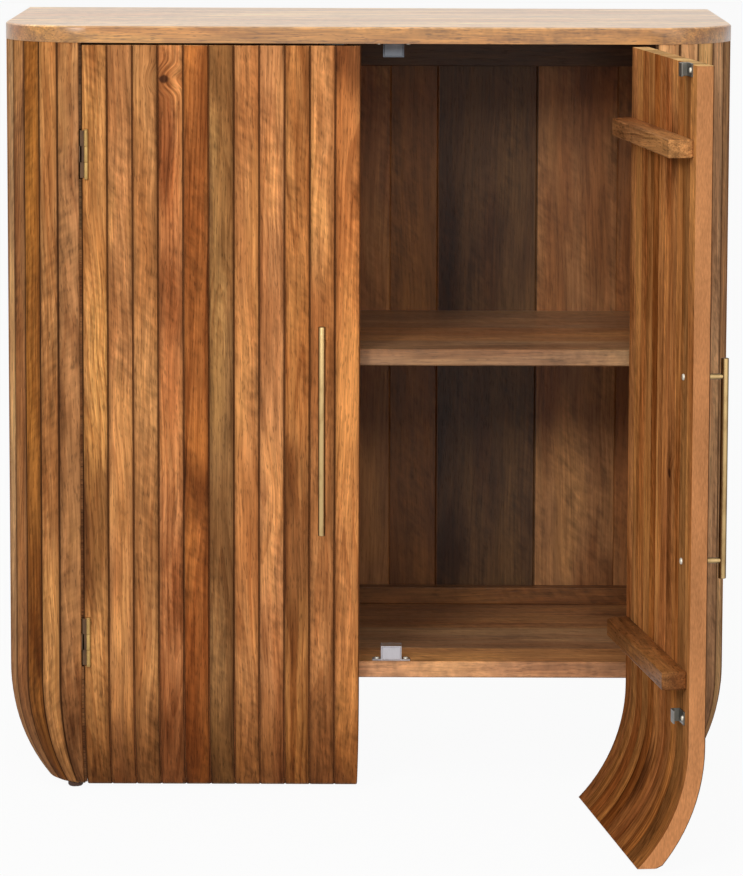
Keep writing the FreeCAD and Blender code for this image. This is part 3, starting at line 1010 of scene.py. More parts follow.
class Bench:
    """Hand tools that shape a mesh in edit mode, starting from a primitive."""

    @staticmethod
    def take(*pieces: Piece) -> None:
        """Select some pieces alone and make the first one active.

        Args:
            pieces: The pieces; none leaves nothing selected.
        """
        bpy.ops.object.select_all(action="DESELECT")
        for piece in pieces:
            piece.select_set(True)
        if pieces:
            bpy.context.view_layer.objects.active = pieces[0]

    @classmethod
    def round_stock(cls, name: str, radius: float, low: float, high: float, sides: int) -> Piece:
        """Upright round blank about Z.

        Args:
            name: Name of the piece.
            radius: Its radius.
            low: Level of its foot.
            high: Level of its head.
            sides: Faces round it.

        Returns:
            The blank, with its place in its mesh.
        """
        cls.take()
        bpy.ops.mesh.primitive_cylinder_add(
            vertices=sides, radius=radius, depth=high - low, location=(0.0, 0.0, (low + high) / 2))
        return cls._settled(name)

    @classmethod
    def block(cls, name: str, low: Sequence[float], high: Sequence[float]) -> Piece:
        """Square blank between its lowest and its highest corner.

        Args:
            name: Name of the piece.
            low: Lowest corner.
            high: Highest corner.

        Returns:
            The blank, with its place in its mesh.
        """
        cls.take()
        size = Vector(high) - Vector(low)
        middle = (Vector(high) + Vector(low)) / 2
        bpy.ops.mesh.primitive_cube_add(size=1.0, location=middle, scale=size)
        return cls._settled(name)

    @staticmethod
    def _settled(name: str) -> Piece:
        """Name the new primitive and apply its place.

        Args:
            name: Name of the piece.

        Returns:
            The piece.
        """
        piece = bpy.context.object
        piece.name = name
        bpy.ops.object.transform_apply(location=True, rotation=True, scale=True)
        return piece

    @classmethod
    @contextmanager
    def editing(cls, piece: Piece, kind: str, chosen: Callable[..., bool]) -> Iterator[None]:
        """Edit mode with some edges or faces of a piece selected.

        Args:
            piece: What is shaped.
            kind: EDGE or FACE.
            chosen: Tells whether an edge or face is selected.

        Yields:
            Nothing; the piece is in edit mode meanwhile.
        """
        cls.take(piece)
        bpy.ops.object.mode_set(mode="EDIT")
        bpy.ops.mesh.select_mode(type=kind)
        bpy.ops.mesh.select_all(action="DESELECT")
        mesh = bmesh.from_edit_mesh(piece.data)
        for element in mesh.edges if kind == "EDGE" else mesh.faces:
            element.select = chosen(element)
        bmesh.update_edit_mesh(piece.data)
        yield
        bpy.ops.object.mode_set(mode="OBJECT")

    @classmethod
    def bevel(cls, piece: Piece, chosen: EdgeTest, width: float, segments: int) -> None:
        """Round some edges.

        Args:
            piece: What is shaped.
            chosen: Tells whether an edge is rounded.
            width: Width of the round.
            segments: Faces across it.
        """
        with cls.editing(piece, "EDGE", chosen):
            bpy.ops.mesh.bevel(offset=width, segments=segments, affect="EDGES")

    @classmethod
    def sink(cls, piece: Piece, level: float, margin: float, depth: float) -> None:
        """Inset the flat faces at one level and press the inner part in.

        Args:
            piece: What is shaped.
            level: Level of the faces.
            margin: Width of the rim that stays.
            depth: How far the middle moves along Z.
        """
        def flat(face: bmesh.types.BMFace) -> bool:
            """Whether a face lies flat at the level."""
            return abs(face.calc_center_median().z - level) < NEAR and abs(face.normal.z) > 0.9

        with cls.editing(piece, "FACE", flat):
            bpy.ops.mesh.inset(thickness=margin, depth=0.0)
            bpy.ops.transform.translate(value=(0.0, 0.0, depth))

    @classmethod
    def draw_down(cls, piece: Piece, steps: Sequence[Vector]) -> None:
        """Extrude the underside of a piece along a chain of steps.

        Args:
            piece: What is shaped.
            steps: Moves of the underside, one after the other.
        """
        with cls.editing(piece, "FACE", lambda face: face.normal.z < -0.9):
            for step in steps:
                bpy.ops.mesh.extrude_region_move(TRANSFORM_OT_translate={"value": step})

    @classmethod
    def cut(cls, piece: Piece, cutter: Piece) -> None:
        """Cut one piece out of another and throw the cutter away.

        Args:
            piece: What is shaped.
            cutter: What is cut out of it.
        """
        cls.take(piece)
        boolean = piece.modifiers.new("cut", "BOOLEAN")
        boolean.operation = "DIFFERENCE"
        boolean.object = cutter
        bpy.ops.object.modifier_apply(modifier=boolean.name)
        cls.scrap(cutter)

    @staticmethod
    def scrap(*pieces: Piece) -> None:
        """Throw pieces and their meshes away.

        Args:
            pieces: The pieces.
        """
        for piece in pieces:
            mesh = piece.data
            bpy.data.objects.remove(piece)
            bpy.data.meshes.remove(mesh)

    @staticmethod
    def move(piece: Piece, matrix: Matrix) -> None:
        """Move a piece's mesh; a mirrored one is turned right side out.

        Args:
            piece: The piece.
            matrix: The move.
        """
        piece.data.transform(matrix)
        if matrix.determinant() < 0:
            piece.data.flip_normals()

    @classmethod
    def copy(cls, piece: Piece, matrix: Matrix) -> Piece:
        """Copy a piece with its mesh and move the copy to its place.

        Args:
            piece: The piece.
            matrix: The move.

        Returns:
            The copy.
        """
        twin = bpy.data.objects.new(piece.name, piece.data.copy())
        bpy.context.scene.collection.objects.link(twin)
        cls.move(twin, matrix)
        return twin

    @classmethod
    def join(cls, name: str, pieces: Sequence[Piece]) -> Piece:
        """Join pieces into one with smooth shading between its sharp edges.

        Args:
            name: Name of the joined piece.
            pieces: What is joined.

        Returns:
            The joined piece.
        """
        cls.take(*pieces)
        bpy.ops.object.join()
        joined = bpy.context.object
        joined.name = joined.data.name = name
        bpy.ops.object.shade_smooth_by_angle(angle=SMOOTH_ANGLE)
        return joined


def fit_out(piece: Piece, body: str, material: Material | None = None) -> None:
    """Give a new piece its body, slot and material.

    Args:
        piece: The new piece.
        body: Body that it rides on.
        material: Its material, or None where its parts have their own.
    """
    if material:
        piece.data.materials.clear()
        piece.data.materials.append(material)
    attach(piece, body)
    LOG.info("%s rides on %s", piece.name, body)


@dataclass
class Cabinet:
    """Plan of the whole cabinet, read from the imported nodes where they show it."""

    corner_radius: float = 94 * MM
    wall: float = 18 * MM
    stile_turn: float = 20.0
    corner_slats: int = 5
    side_slats: int = 11
    door_slats: int = 11
    barrel_proud: float = 1.5 * MM
    barrel_inset: float = 5 * MM
    meeting_x: float = -7 * MM
    meeting_gap: float = 2 * MM
    right_door_turn: float = 98.3
    foot_start: float = 133 * MM
    foot_radius: float = 200 * MM
    top: tuple[Vector, Vector] = field(default_factory=lambda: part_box("top_board"))

    @property
    def front(self) -> float:
        """Level in Y of the closed doors' outer faces."""
        return self.top[0].y

    @property
    def hinge_x(self) -> float:
        """Distance of the hinge axes from the middle."""
        return self.top[1].x - self.corner_radius

    def foot_depth(self, level: float) -> float:
        """How far the foot's outer curve lies inwards at a level."""
        drop = max(self.foot_start - level, 0.0)
        return self.foot_radius - math.sqrt(self.foot_radius ** 2 - drop ** 2)

    def free_edge(self, side: Side) -> float:
        """Distance of a door's free edge from its hinge axis."""
        toward = self.meeting_x if side is Side.LEFT else -self.meeting_x
        return self.hinge_x + toward - self.meeting_gap / 2

    def door_pitch(self, side: Side) -> float:
        """Width of a door's slats."""
        return (self.free_edge(side) + self.barrel_inset) / self.door_slats

    def _about(self, side: Side, mirrored_side: Side, turn: float, x: float, depth: float) -> Place:
        """Axes about a point of one side, at a distance from the middle and behind the front."""
        origin = (-x if side is Side.LEFT else x, self.front + depth, 0.0)
        return Place.about(side is mirrored_side, turn, origin)

    def frame_place(self, side: Side) -> Place:
        """Axes of a closed door on one side: across from its hinge, inwards from its outer face, and up."""
        return self._about(side, Side.RIGHT, 0.0, self.hinge_x, 0.0)

    def door_place(self, side: Side) -> Place:
        """Find the axes of a door as it stands.

        Args:
            side: Which side.

        Returns:
            The closed door's axes, turned with the open one.
        """
        closed = self.frame_place(side)
        if side is Side.LEFT:
            return closed
        turn = Matrix.Rotation(math.radians(self.right_door_turn), 4, "Z")
        pivot = Matrix.Translation((0.0, -self.barrel_proud, 0.0))
        matrix = pivot @ turn @ pivot.inverted() @ closed.from_cabinet()
        return Place(True, math.radians(self.right_door_turn), tuple(matrix.translation))

    def side_place(self, side: Side) -> Place:
        """Axes of a side wall: across from the corner to the back, inwards from its outer face, and up."""
        return self._about(side, Side.LEFT, -90.0, self.top[1].x, self.corner_radius)

    def corner_place(self, side: Side) -> Place:
        """Axes of a front corner about its upright axis, turned so that the front is at no turn."""
        return self._about(side, Side.RIGHT, 180.0, self.hinge_x, self.corner_radius)


@dataclass
class Screw:
    """Screw head with a cross recess, made once about Z and copied to its places."""

    name: str
    radius: float
    rise: float
    sunk: float = 0.5 * MM
    arm_share: float = 0.62
    slot_share: float = 0.15
    depth_share: float = 0.55

    def __post_init__(self) -> None:
        """Model the head: a round blank, domed at the rim, with a cross cut in it."""
        self.head = Bench.round_stock(self.name, self.radius, -self.sunk, self.rise, SMALL_FACES)
        dome = min(0.6 * self.rise, 0.4 * self.radius)
        Bench.bevel(self.head, edge_at(self.rise), dome, 3)
        arm, slot = self.arm_share * self.radius, self.slot_share * self.radius
        floor = self.rise - self.depth_share * (self.rise + self.sunk)
        for reach_x, reach_y in ((arm, slot), (slot, arm)):
            low = (-reach_x, -reach_y, floor)
            Bench.cut(self.head, Bench.block("cross", low, (reach_x, reach_y, 2 * self.rise)))

    def at(self, place: Sequence[float], facing: Sequence[float], turn: float) -> Piece:
        """Copy of the head on a face.

        Args:
            place: Middle of the head's seat.
            facing: Direction in which the head faces.
            turn: Turn of its cross in degrees.

        Returns:
            The copy.
        """
        tilt = Vector(facing).to_track_quat("Z", "Y").to_matrix().to_4x4()
        spin = Matrix.Rotation(math.radians(turn), 4, "Z")
        return Bench.copy(self.head, Matrix.Translation(place) @ tilt @ spin)


@dataclass
class Handle:
    """Slim round bar on two posts with small collars."""

    length: float = 230 * MM
    radius: float = 4 * MM
    standoff: float = 25 * MM
    spacing: float = 192 * MM
    level: float = 416 * MM
    end_round: float = 0.8 * MM
    end_rim: float = 1.4 * MM
    end_dip: float = 0.25 * MM
    post_radius: float = 3 * MM
    post_round: float = 0.3 * MM
    collar_radius: float = 4.2 * MM
    collar_rise: float = 1.4 * MM
    collar_round: float = 0.7 * MM

    def post_levels(self) -> tuple[float, float]:
        """Levels of the upper and the lower post."""
        return self.level + self.spacing / 2, self.level - self.spacing / 2

    def build(self, name: str, across: float, place: Place) -> Piece:
        """Model the handle of one door.

        Args:
            name: Name of the piece.
            across: Distance from the hinge axis.
            place: The door's axes.

        Returns:
            The handle in the cabinet.
        """
        half = self.length / 2
        bar = Bench.round_stock("bar", self.radius, -half, half, BAR_FACES)
        Bench.bevel(bar, level_edge, self.end_round, 3)
        for end in (-half, half):
            Bench.sink(bar, end, self.end_rim, -math.copysign(self.end_dip, end))
        bar.data.transform(Matrix.Translation((across, -self.standoff, self.level)))
        outward = Matrix.Rotation(math.radians(90), 4, "X")
        stock = (
            ("post", self.post_radius, self.standoff, self.post_round),
            ("collar", self.collar_radius, self.collar_rise, self.collar_round),
        )
        pieces = [bar]
        for level in self.post_levels():
            for label, radius, rise, rounded in stock:
                blank = Bench.round_stock(label, radius, 0.0, rise, TURNED_FACES)
                Bench.bevel(blank, edge_at(rise), rounded, 3)
                blank.data.transform(Matrix.Translation((across, 0.0, level)) @ outward)
                pieces.append(blank)
        handle = Bench.join(name, pieces)
        Bench.move(handle, place.to_cabinet())
        return handle


@dataclass
class Hinge:
    """Butt hinge with round knuckles: leaves in the gap between stile and door, and a pin with domed caps."""

    length: float = 52 * MM
    radius: float = 2.25 * MM
    proud: float = Cabinet.barrel_proud
    inset: float = Cabinet.barrel_inset
    gap: float = 3 * MM
    knuckles: int = 3
    knuckle_gap: float = 0.3 * MM
    knuckle_round: float = 0.25 * MM
    leaf: float = 1.3 * MM
    leaf_depth: float = 18 * MM
    leaf_round: float = 0.2 * MM
    leaf_drop: float = 0.3 * MM
    strap_drop: float = 0.35 * MM
    strap_lap: float = 0.2 * MM
    strap_round: float = 0.05 * MM
    pin_radius: float = 1.2 * MM
    pin_play: float = 0.05 * MM
    pin_round: float = 0.2 * MM
    cap: float = 1.4 * MM
    cap_round: float = 0.9 * MM
    screw_level: float = 15 * MM
    screw_share: float = 0.55
    levels: tuple[float, float] = (716 * MM, 177 * MM)

    def knuckle_spans(self, own: Leaf) -> list[tuple[float, float]]:
        """Share the hinge's length out among the knuckles.

        Args:
            own: Which leaf.

        Returns:
            Lowest and highest level of each of this leaf's knuckles.
        """
        pitch = self.length / self.knuckles
        lows = [-self.length / 2 + number * pitch for number in range(own, self.knuckles, len(Leaf))]
        return [(low + self.knuckle_gap / 2, low + pitch - self.knuckle_gap / 2) for low in lows]

    def screw_places(self, own: Leaf) -> list[Point]:
        """Find the middles of a leaf's screws about the hinge axis.

        Args:
            own: Which leaf.

        Returns:
            The lower and the upper middle.
        """
        face = -self.inset - (self.leaf if own is Leaf.DOOR else self.gap - self.leaf)
        depth = self.screw_share * self.leaf_depth
        return [(face, depth, level) for level in (-self.screw_level, self.screw_level)]

    def build_leaf(self, own: Leaf, gap_shaded: Material, bright: Material) -> list[Piece]:
        """Model one leaf about the hinge axis.

        Args:
            own: Which leaf.
            gap_shaded: Metal of the plate and its straps, painted dark for the shade of the gap they sit in.
            bright: Metal of the knuckles.

        Returns:
            The leaf's plate, straps and knuckles.
        """
        front = self.proud + self.strap_drop
        left = -self.inset - (self.leaf if own is Leaf.DOOR else self.gap)
        right = left + self.leaf
        half = self.length / 2
        plate_front = self.radius + self.leaf_drop
        plate = Bench.block("plate", (left, plate_front, -half), (right, self.leaf_depth, half))
        Bench.bevel(plate, every_edge, self.leaf_round, 2)
        pieces = [plate]
        for low, high in self.knuckle_spans(own):
            root = Bench.block("root", (left, front, low), (right, plate_front + self.strap_lap, high))
            strap = Bench.block("strap", (left, front, low), (0.0, self.radius, high))
            for blank in (root, strap):
                Bench.bevel(blank, every_edge, self.strap_round, 1)
            knuckle = Bench.round_stock("knuckle", self.radius, low, high, TURNED_FACES)
            Bench.bevel(knuckle, level_edge, self.knuckle_round, 2)
            bore_radius = self.pin_radius + self.pin_play
            bore = Bench.round_stock("bore", bore_radius, low - MM, high + MM, SMALL_FACES)
            Bench.cut(knuckle, bore)
            pieces += [root, strap, knuckle]
        for piece in pieces:
            piece.data.materials.append(bright if piece.name.startswith("knuckle") else gap_shaded)
        return pieces

    def build_pin(self) -> list[Piece]:
        """Model the pin and its caps about the hinge axis.

        Returns:
            The pin and the caps.
        """
        half = self.length / 2
        pin = Bench.round_stock("pin", self.pin_radius, -half, half, SMALL_FACES)
        Bench.bevel(pin, level_edge, self.pin_round, 1)
        pieces = [pin]
        tip = half + self.cap
        for low, high, crown in ((half, tip, tip), (-tip, -half, -tip)):
            cap = Bench.round_stock("cap", self.radius, low, high, TURNED_FACES)
            Bench.bevel(cap, edge_at(crown), self.cap_round, 4)
            pieces.append(cap)
        return pieces

    def hang(self, blanks: Sequence[Piece], place: Place) -> list[Piece]:
        """Copies of a hinge's pieces at both hinges of a door or frame.

        Args:
            blanks: Pieces about the hinge axis.
            place: Axes of the door or frame.

        Returns:
            The copies in the cabinet.
        """
        copies = []
        for level in self.levels:
            matrix = place.to_cabinet() @ Matrix.Translation((0.0, -self.proud, level))
            copies += [Bench.copy(blank, matrix) for blank in blanks]
        return copies


@dataclass
class Hardware:
    """Finishes, screws, hinge and handle that the doors and the carcass share."""

    effects: Effects
    hinge: Hinge = field(default_factory=Hinge)
    handle: Handle = field(default_factory=Handle)

    def __post_init__(self) -> None:
        """Make the metals and model the screw heads once."""
        # The satin brass carries a painted dark reflection on faces turned from the view.
        self.brass = self._metal(
            "satin brass", metallic=1.0, bump=0.06, body=(0.78, 0.66, 0.46), tarnish=(0.60, 0.47, 0.30),
            roughness=0.26, flank=0.9)
        self.barrel = self._metal(
            "aged brass", metallic=0.6, specular=0.3, bump=0.10, body=(0.74, 0.60, 0.36),
            tarnish=(0.52, 0.38, 0.20), roughness=0.40)
        # Painted shade: the hinge leaves and straps deep in the gap are painted as dark brass.
        self.gap_shaded_brass = self._metal(
            "brass shaded in the gap", metallic=0.2, bump=0.12, body=(0.36, 0.245, 0.13),
            tarnish=(0.22, 0.145, 0.08), roughness=0.5)
        self.zinc = self._metal(
            "zinc plate", metallic=0.6, bump=0.06, body=(0.90, 0.88, 0.82), tarnish=(0.72, 0.70, 0.64),
            roughness=0.35)
        # Painted shade on the catch under the top board and on the upward faces of the cases.
        self.cast = self._metal(
            "cast aluminium", metallic=0.2, specular=0.3, bump=0.15, body=(0.74, 0.73, 0.75),
            tarnish=(0.52, 0.53, 0.55), roughness=0.42, upper_body=(0.40, 0.42, 0.45),
            top_body=(0.50, 0.40, 0.32))
        self.pressed = self._metal(
            "pressed steel", metallic=0.9, bump=0.25, body=(0.50, 0.49, 0.46), tarnish=(0.22, 0.20, 0.18),
            roughness=0.22)
        # Painted shade on the magnet poles of the catch under the top board.
        self.magnet = self._metal(
            "magnet poles", metallic=0.2, specular=0.3, bump=0.10, body=(0.76, 0.75, 0.77),
            tarnish=(0.54, 0.55, 0.57), roughness=0.40, upper_body=(0.44, 0.46, 0.49))
        self.pan_screw = Screw("pan screw", 2.7 * MM, 1.5 * MM)
        self.handle_screw = Screw("handle screw", 3.4 * MM, 1.8 * MM)
        self.flush_screw = Screw("flush screw", 2.6 * MM, 0.12 * MM, 0.6 * MM)
        self.leaves = [self.hinge.build_leaf(own, self.gap_shaded_brass, self.barrel) for own in Leaf]
        self.pin = self.hinge.build_pin()

    def _metal(self, name: str, **settings: float | Colour) -> Material:
        """Material of one metal, with the settings of its finish."""
        return MetalFinish(name, **settings).material(self.effects)

    def hinge_screws(self, own: Leaf) -> list[Piece]:
        """Set the screw heads of one leaf about the hinge axis.

        Args:
            own: Which leaf.

        Returns:
            The heads.
        """
        facing = (-1.0 if own is Leaf.DOOR else 1.0, 0.0, 0.0)
        places = enumerate(self.hinge.screw_places(own))
        return [self.flush_screw.at(place, facing, turn=17.0 + 31 * number) for number, place in places]

    def clear_bench(self) -> None:
        """Throw the models away once their copies are placed."""
        heads = [screw.head for screw in (self.pan_screw, self.handle_screw, self.flush_screw)]
        Bench.scrap(*heads, *sum(self.leaves, []), *self.pin)


@dataclass
class Door:
    """One door: slats, battens, handle, catches and its half of the hinges."""

    side: Side
    cabinet: Cabinet
    hardware: Hardware
    tones: tuple[Tone, ...]
    seed: float
    knots: tuple[Point, ...] = ()
    hearts: tuple[tuple[int, float, float], ...] = ()
    catch_inset: float = 34.5 * MM
    catch_levels: tuple[float, float] = (828.75 * MM, 159.25 * MM)
    strike_screw: tuple[float, float] = (11 * MM, 19.5 * MM)

    @property
    def place(self) -> Place:
        """The door's axes as it stands."""
        return self.cabinet.door_place(self.side)

    @property
    def body(self) -> str:
        """Body that the door's pieces ride on."""
        return f"{self.side}_door"

    @property
    def handle_x(self) -> float:
        """Distance of the handle, in the middle of the last slat but one, from the hinge axis."""
        pitch = self.cabinet.door_pitch(self.side)
        return (self.cabinet.door_slats - 1.5) * pitch - self.cabinet.barrel_inset

    def build(self) -> None:
        """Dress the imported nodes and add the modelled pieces."""
        self._dress()
        self._add_handle()
        self._add_hinge_leaves()
        self._add_screws()

    def _dress(self) -> None:
        """Finish the slats, the battens and the strikes of the catches."""
        effects, plan = self.hardware.effects, self.cabinet
        slats = SlatFinish(
            f"{self.side} door slats", tones=self.tones, place=self.place, start=-plan.barrel_inset,
            pitch=plan.door_pitch(self.side), seed=self.seed, knots=self.knots, hearts=self.hearts)
        names = [f"{self.side}_door_slat_{number:02d}" for number in range(1, plan.door_slats + 1)]
        dress(names, slats.material(effects), eased=0.5 * MM)
        battens = BoardFinish(
            f"{self.side} door battens", coat=0.06, specular=0.05, bump=0.30,
            tones=(Tone.COCOA, Tone.CINNAMON), place=self.place, seed=self.seed + 3.0)
        names = [f"{self.side}_door_{level}_batten" for level in ("upper", "lower")]
        dress(names, battens.material(effects), eased=1.5 * MM)
        dress([f"{self.side}_catch_strikes"], self.hardware.pressed, eased=0.5 * MM)

    def _add_handle(self) -> None:
        """Replace the plain handle by the modelled one."""
        handle = self.hardware.handle.build(f"{self.side}_bar_handle", self.handle_x, self.place)
        fit_out(handle, self.body, self.hardware.brass)
        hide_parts(f"{self.side}_handle_bar", f"{self.side}_handle_posts")

    def _add_hinge_leaves(self) -> None:
        """Replace the many-sided leaves by round ones."""
        hinge, blanks = self.hardware.hinge, self.hardware.leaves[Leaf.DOOR]
        leaves = Bench.join(f"{self.side}_door_hinges", hinge.hang(blanks, self.place))
        fit_out(leaves, self.body)
        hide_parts(f"{self.side}_hinge_door_leaves")
        heads = self.hardware.hinge_screws(Leaf.DOOR)
        screws = Bench.join(f"{self.side}_door_hinge_screws", hinge.hang(heads, self.place))
        Bench.scrap(*heads)
        fit_out(screws, self.body, self.hardware.brass)

    def _add_screws(self) -> None:
        """Screw heads of the strikes and of the handle, on the inner face."""
        hardware, inwards = self.hardware, (0.0, 1.0, 0.0)
        catch_x = self.cabinet.free_edge(self.side) + self.cabinet.meeting_gap / 2 - self.catch_inset
        heads = []
        reach, face = self.strike_screw
        for number, level in enumerate(self.catch_levels):
            place = (catch_x + reach, face, level)
            heads.append(hardware.pan_screw.at(place, inwards, turn=23.0 + 40 * number))
        for number, level in enumerate(hardware.handle.post_levels()):
            place = (self.handle_x, self.cabinet.wall, level)
            heads.append(hardware.handle_screw.at(place, inwards, turn=12.0 + 50 * number))
        screws = Bench.join(f"{self.side}_door_screws", heads)
        Bench.move(screws, self.place.to_cabinet())
        fit_out(screws, self.body, hardware.zinc)


@dataclass
class Carcass:
    """Fixed part: walls, boards, back, catches, glides and the frame's half of the hinges."""

    cabinet: Cabinet
    hardware: Hardware
    plank_shares: tuple[float, ...] = (110, 95, 105, 96, 55, 116, 95, 88)
    plank_tones: tuple[Tone, ...] = (
        Tone.COCOA, Tone.UMBER, Tone.CINNAMON, Tone.CINNAMON, Tone.COCOA, Tone.HEARTWOOD, Tone.SIENNA,
        Tone.CINNAMON)
    side_tones: tuple[Tone, ...] = (
        Tone.CHESTNUT, Tone.HONEY, Tone.RUSSET, Tone.TOFFEE, Tone.APRICOT, Tone.CINNAMON, Tone.TAN,
        Tone.COPPER, Tone.OLIVE, Tone.AMBER, Tone.TERRACOTTA)
    corner_tones: dict[str, tuple[Tone, ...]] = field(default_factory=lambda: {
        Side.LEFT: (Tone.FAWN, Tone.TAN, Tone.TAWNY, Tone.FAWN, Tone.OCHRE, Tone.TAN),
        Side.RIGHT: (Tone.OCHRE, Tone.KHAKI, Tone.OCHRE, Tone.KHAKI, Tone.OCHRE, Tone.TAN)})
    catch_middles: tuple[float, float] = (-41.5 * MM, 27.5 * MM)
    flange_screw: tuple[float, float] = (16 * MM, 35 * MM)
    flange_faces: tuple[float, float] = (835.5 * MM, 152.5 * MM)
    strip_width: float = 2.6 * MM
    strip_depths: tuple[float, float] = (1.2 * MM, 5 * MM)
    strip_step: float = 8.25 * MM
    strip_steps: int = 15
    strip_play: float = 0.1 * MM
    strip_top_gap: float = 0.5 * MM

    def build(self) -> None:
        """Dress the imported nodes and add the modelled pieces."""
        for side in Side:
            self._dress_walls(side)
        self._dress_boards()
        self._dress_fittings()
        self._add_gap_shade_strips()
        self._add_hinges()
        self._add_catch_screws()

    def _dress_walls(self, side: Side) -> None:
        """Finish a corner and a side wall.

        Args:
            side: Which side.
        """
        plan, effects = self.cabinet, self.hardware.effects
        # The corner staves get less painted shade at the foot.
        corner = SlatFinish(
            f"{side} corner slats", tones=self.corner_tones[side], place=plan.corner_place(side),
            first_turn=plan.stile_turn, pitch=(90.0 - plan.stile_turn) / plan.corner_slats,
            radius=plan.corner_radius, spread=Spread.CORNER, darken=0.35,
            seed=2.3 if side is Side.LEFT else 11.9)
        dress([f"{side}_corner_slats"], corner.material(effects), eased=0.5 * MM)
        depth = plan.top[1].y - plan.front - plan.corner_radius
        wall = SlatFinish(
            f"{side} side slats", tones=self.side_tones, place=plan.side_place(side),
            pitch=depth / plan.side_slats, seed=4.9 if side is Side.LEFT else 17.3)
        dress([f"{side}_side_slats"], wall.material(effects), eased=0.5 * MM)

    def _dress_boards(self) -> None:
        """Finish the top, the shelf, the floor and the back."""
        spans = {name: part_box(name) for name in ("top_board", "shelf", "floor_board", "back_planks")}
        depths = {name: (low.y, high.y) for name, (low, high) in spans.items()}
        widths = {name: (low.x, high.x) for name, (low, high) in spans.items()}
        lying = {"order": (1, 2, 0)}
        inner = {"coat": 0.12, "specular": 0.35, "bump": 0.28, "shares": (5, 8, 11), "fine": 0.6, **lying}
        strip = {"coat": 0.08, "specular": 0.20, "bump": 0.28, "fine": 0.5}
        finishes = (
            # The top face is painted pale, a painted sheen besides the coat's own reflection; its edges keep
            # the gold tone of the wood.
            (["top_board"], 0.8 * MM, BoardFinish(
                "top board", coat=0.9, coat_roughness=0.32, bump=0.12, shares=(10, 11, 9, 12),
                tones=(Tone.SHEEN_CREAM, Tone.SHEEN_WHEAT, Tone.SHEEN_CREAM, Tone.SHEEN_WHEAT), span=depths["top_board"], seed=6.1,
                rim=Tone.GOLD, **lying)),
            (["shelf"], 0.6 * MM, BoardFinish(
                "shelf", tones=(Tone.DRIFTWOOD, Tone.CINNAMON, Tone.DRIFTWOOD), span=depths["shelf"],
                seed=8.3, **inner)),
            (["floor_board"], 0.6 * MM, BoardFinish(
                "floor board", tones=(Tone.TAN, Tone.DRIFTWOOD, Tone.CINNAMON), span=depths["floor_board"],
                seed=13.4, rim=Tone.BISCUIT, **inner)),
            (["back_planks"], 0.0, BoardFinish(
                "back planks", coat=0.08, specular=0.20, bump=0.30, tones=self.plank_tones,
                shares=self.plank_shares, span=widths["back_planks"], order=(0, 1, 2), seed=1.1, fine=0.4)),
            (["back_top_rail", "back_floor_cleat"], 1.0 * MM, BoardFinish(
                "back strips", tones=(Tone.COCOA, Tone.WALNUT), seed=3.7, **strip)),
            (["side_bearers"], 1.0 * MM, BoardFinish(
                "side bearers", tones=(Tone.UMBER, Tone.COCOA), span=(-0.4, 0.4), order=(0, 2, 1), seed=5.5,
                **strip)),
        )
        for names, eased, finish in finishes:
            dress(names, finish.material(self.hardware.effects), eased)

    def _dress_fittings(self) -> None:
        """Finish the catches and the glides."""
        dress(["catch_cases"], self.hardware.cast, eased=0.4 * MM)
        dress(["catch_magnets"], self.hardware.magnet, eased=0.4 * MM)
        dress(["glides"], GlideFinish("glides").material(self.hardware.effects), eased=0.6 * MM)

    def _add_gap_shade_strips(self) -> None:
        """Fill the hinge gaps with thin brown strips over, between and under the hinges, down the curved
        foot: painted shade that stands in for the shaded seam.
        """
        hinge, plan = self.hardware.hinge, self.cabinet
        clear = hinge.length / 2 + hinge.cap + self.strip_play
        upper, lower = hinge.levels
        spans = (
            (plan.foot_start, lower - clear), (lower + clear, upper - clear),
            (upper + clear, plan.top[0].z - self.strip_top_gap))
        levels = [plan.foot_start - number * self.strip_step for number in range(self.strip_steps + 1)]
        chain = [
            Vector((0.0, plan.foot_depth(end) - plan.foot_depth(start), end - start))
            for start, end in zip(levels, levels[1:])]
        front, back = self.strip_depths
        stile = -hinge.inset - hinge.gap
        strips = []
        for side in Side:
            matrix = plan.frame_place(side).to_cabinet()
            for low, high in spans:
                blank = Bench.block("strip", (stile, front, low), (stile + self.strip_width, back, high))
                if low == plan.foot_start:
                    Bench.draw_down(blank, chain)
                strips.append(Bench.copy(blank, matrix))
                Bench.scrap(blank)
        # Painted shade: the strips stand in for the shaded seam of the gap.
        finish = BoardFinish(
            "gap shade strips", specular=0.05, tones=(Tone.UMBER, Tone.WALNUT), shares=(2, 1), seed=7.7)
        piece = Bench.join("gap_shade_strips", strips)
        fit_out(piece, "carcass", finish.material(self.hardware.effects))

    def _add_hinges(self) -> None:
        """Replace the many-sided frame leaves and pins by round ones."""
        hardware = self.hardware
        heads = hardware.hinge_screws(Leaf.FRAME)
        groups = (
            ("frame_hinges", "hinge_frame_leaves", hardware.leaves[Leaf.FRAME], None),
            ("round_hinge_pins", "hinge_pins", hardware.pin, hardware.barrel),
            ("frame_hinge_screws", None, heads, hardware.brass),
        )
        for name, node, blanks, metal in groups:
            copies = []
            for side in Side:
                copies += hardware.hinge.hang(blanks, self.cabinet.frame_place(side))
            piece = Bench.join(name, copies)
            fit_out(piece, "carcass", metal)
            if node:
                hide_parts(node)
        Bench.scrap(*heads)

    def _add_catch_screws(self) -> None:
        """Screw heads on the flanges of the catches."""
        reach, depth = self.flange_screw
        heads = []
        for middle in self.catch_middles:
            for level, facing in zip(self.flange_faces, (-1.0, 1.0)):
                for sign in (-1, 1):
                    place = (middle + sign * reach, self.cabinet.front + depth, level)
                    turn = 35.0 + 20 * sign
                    heads.append(self.hardware.pan_screw.at(place, (0.0, 0.0, facing), turn))
        screws = Bench.join("catch_screws", heads)
        fit_out(screws, "carcass", self.hardware.zinc)


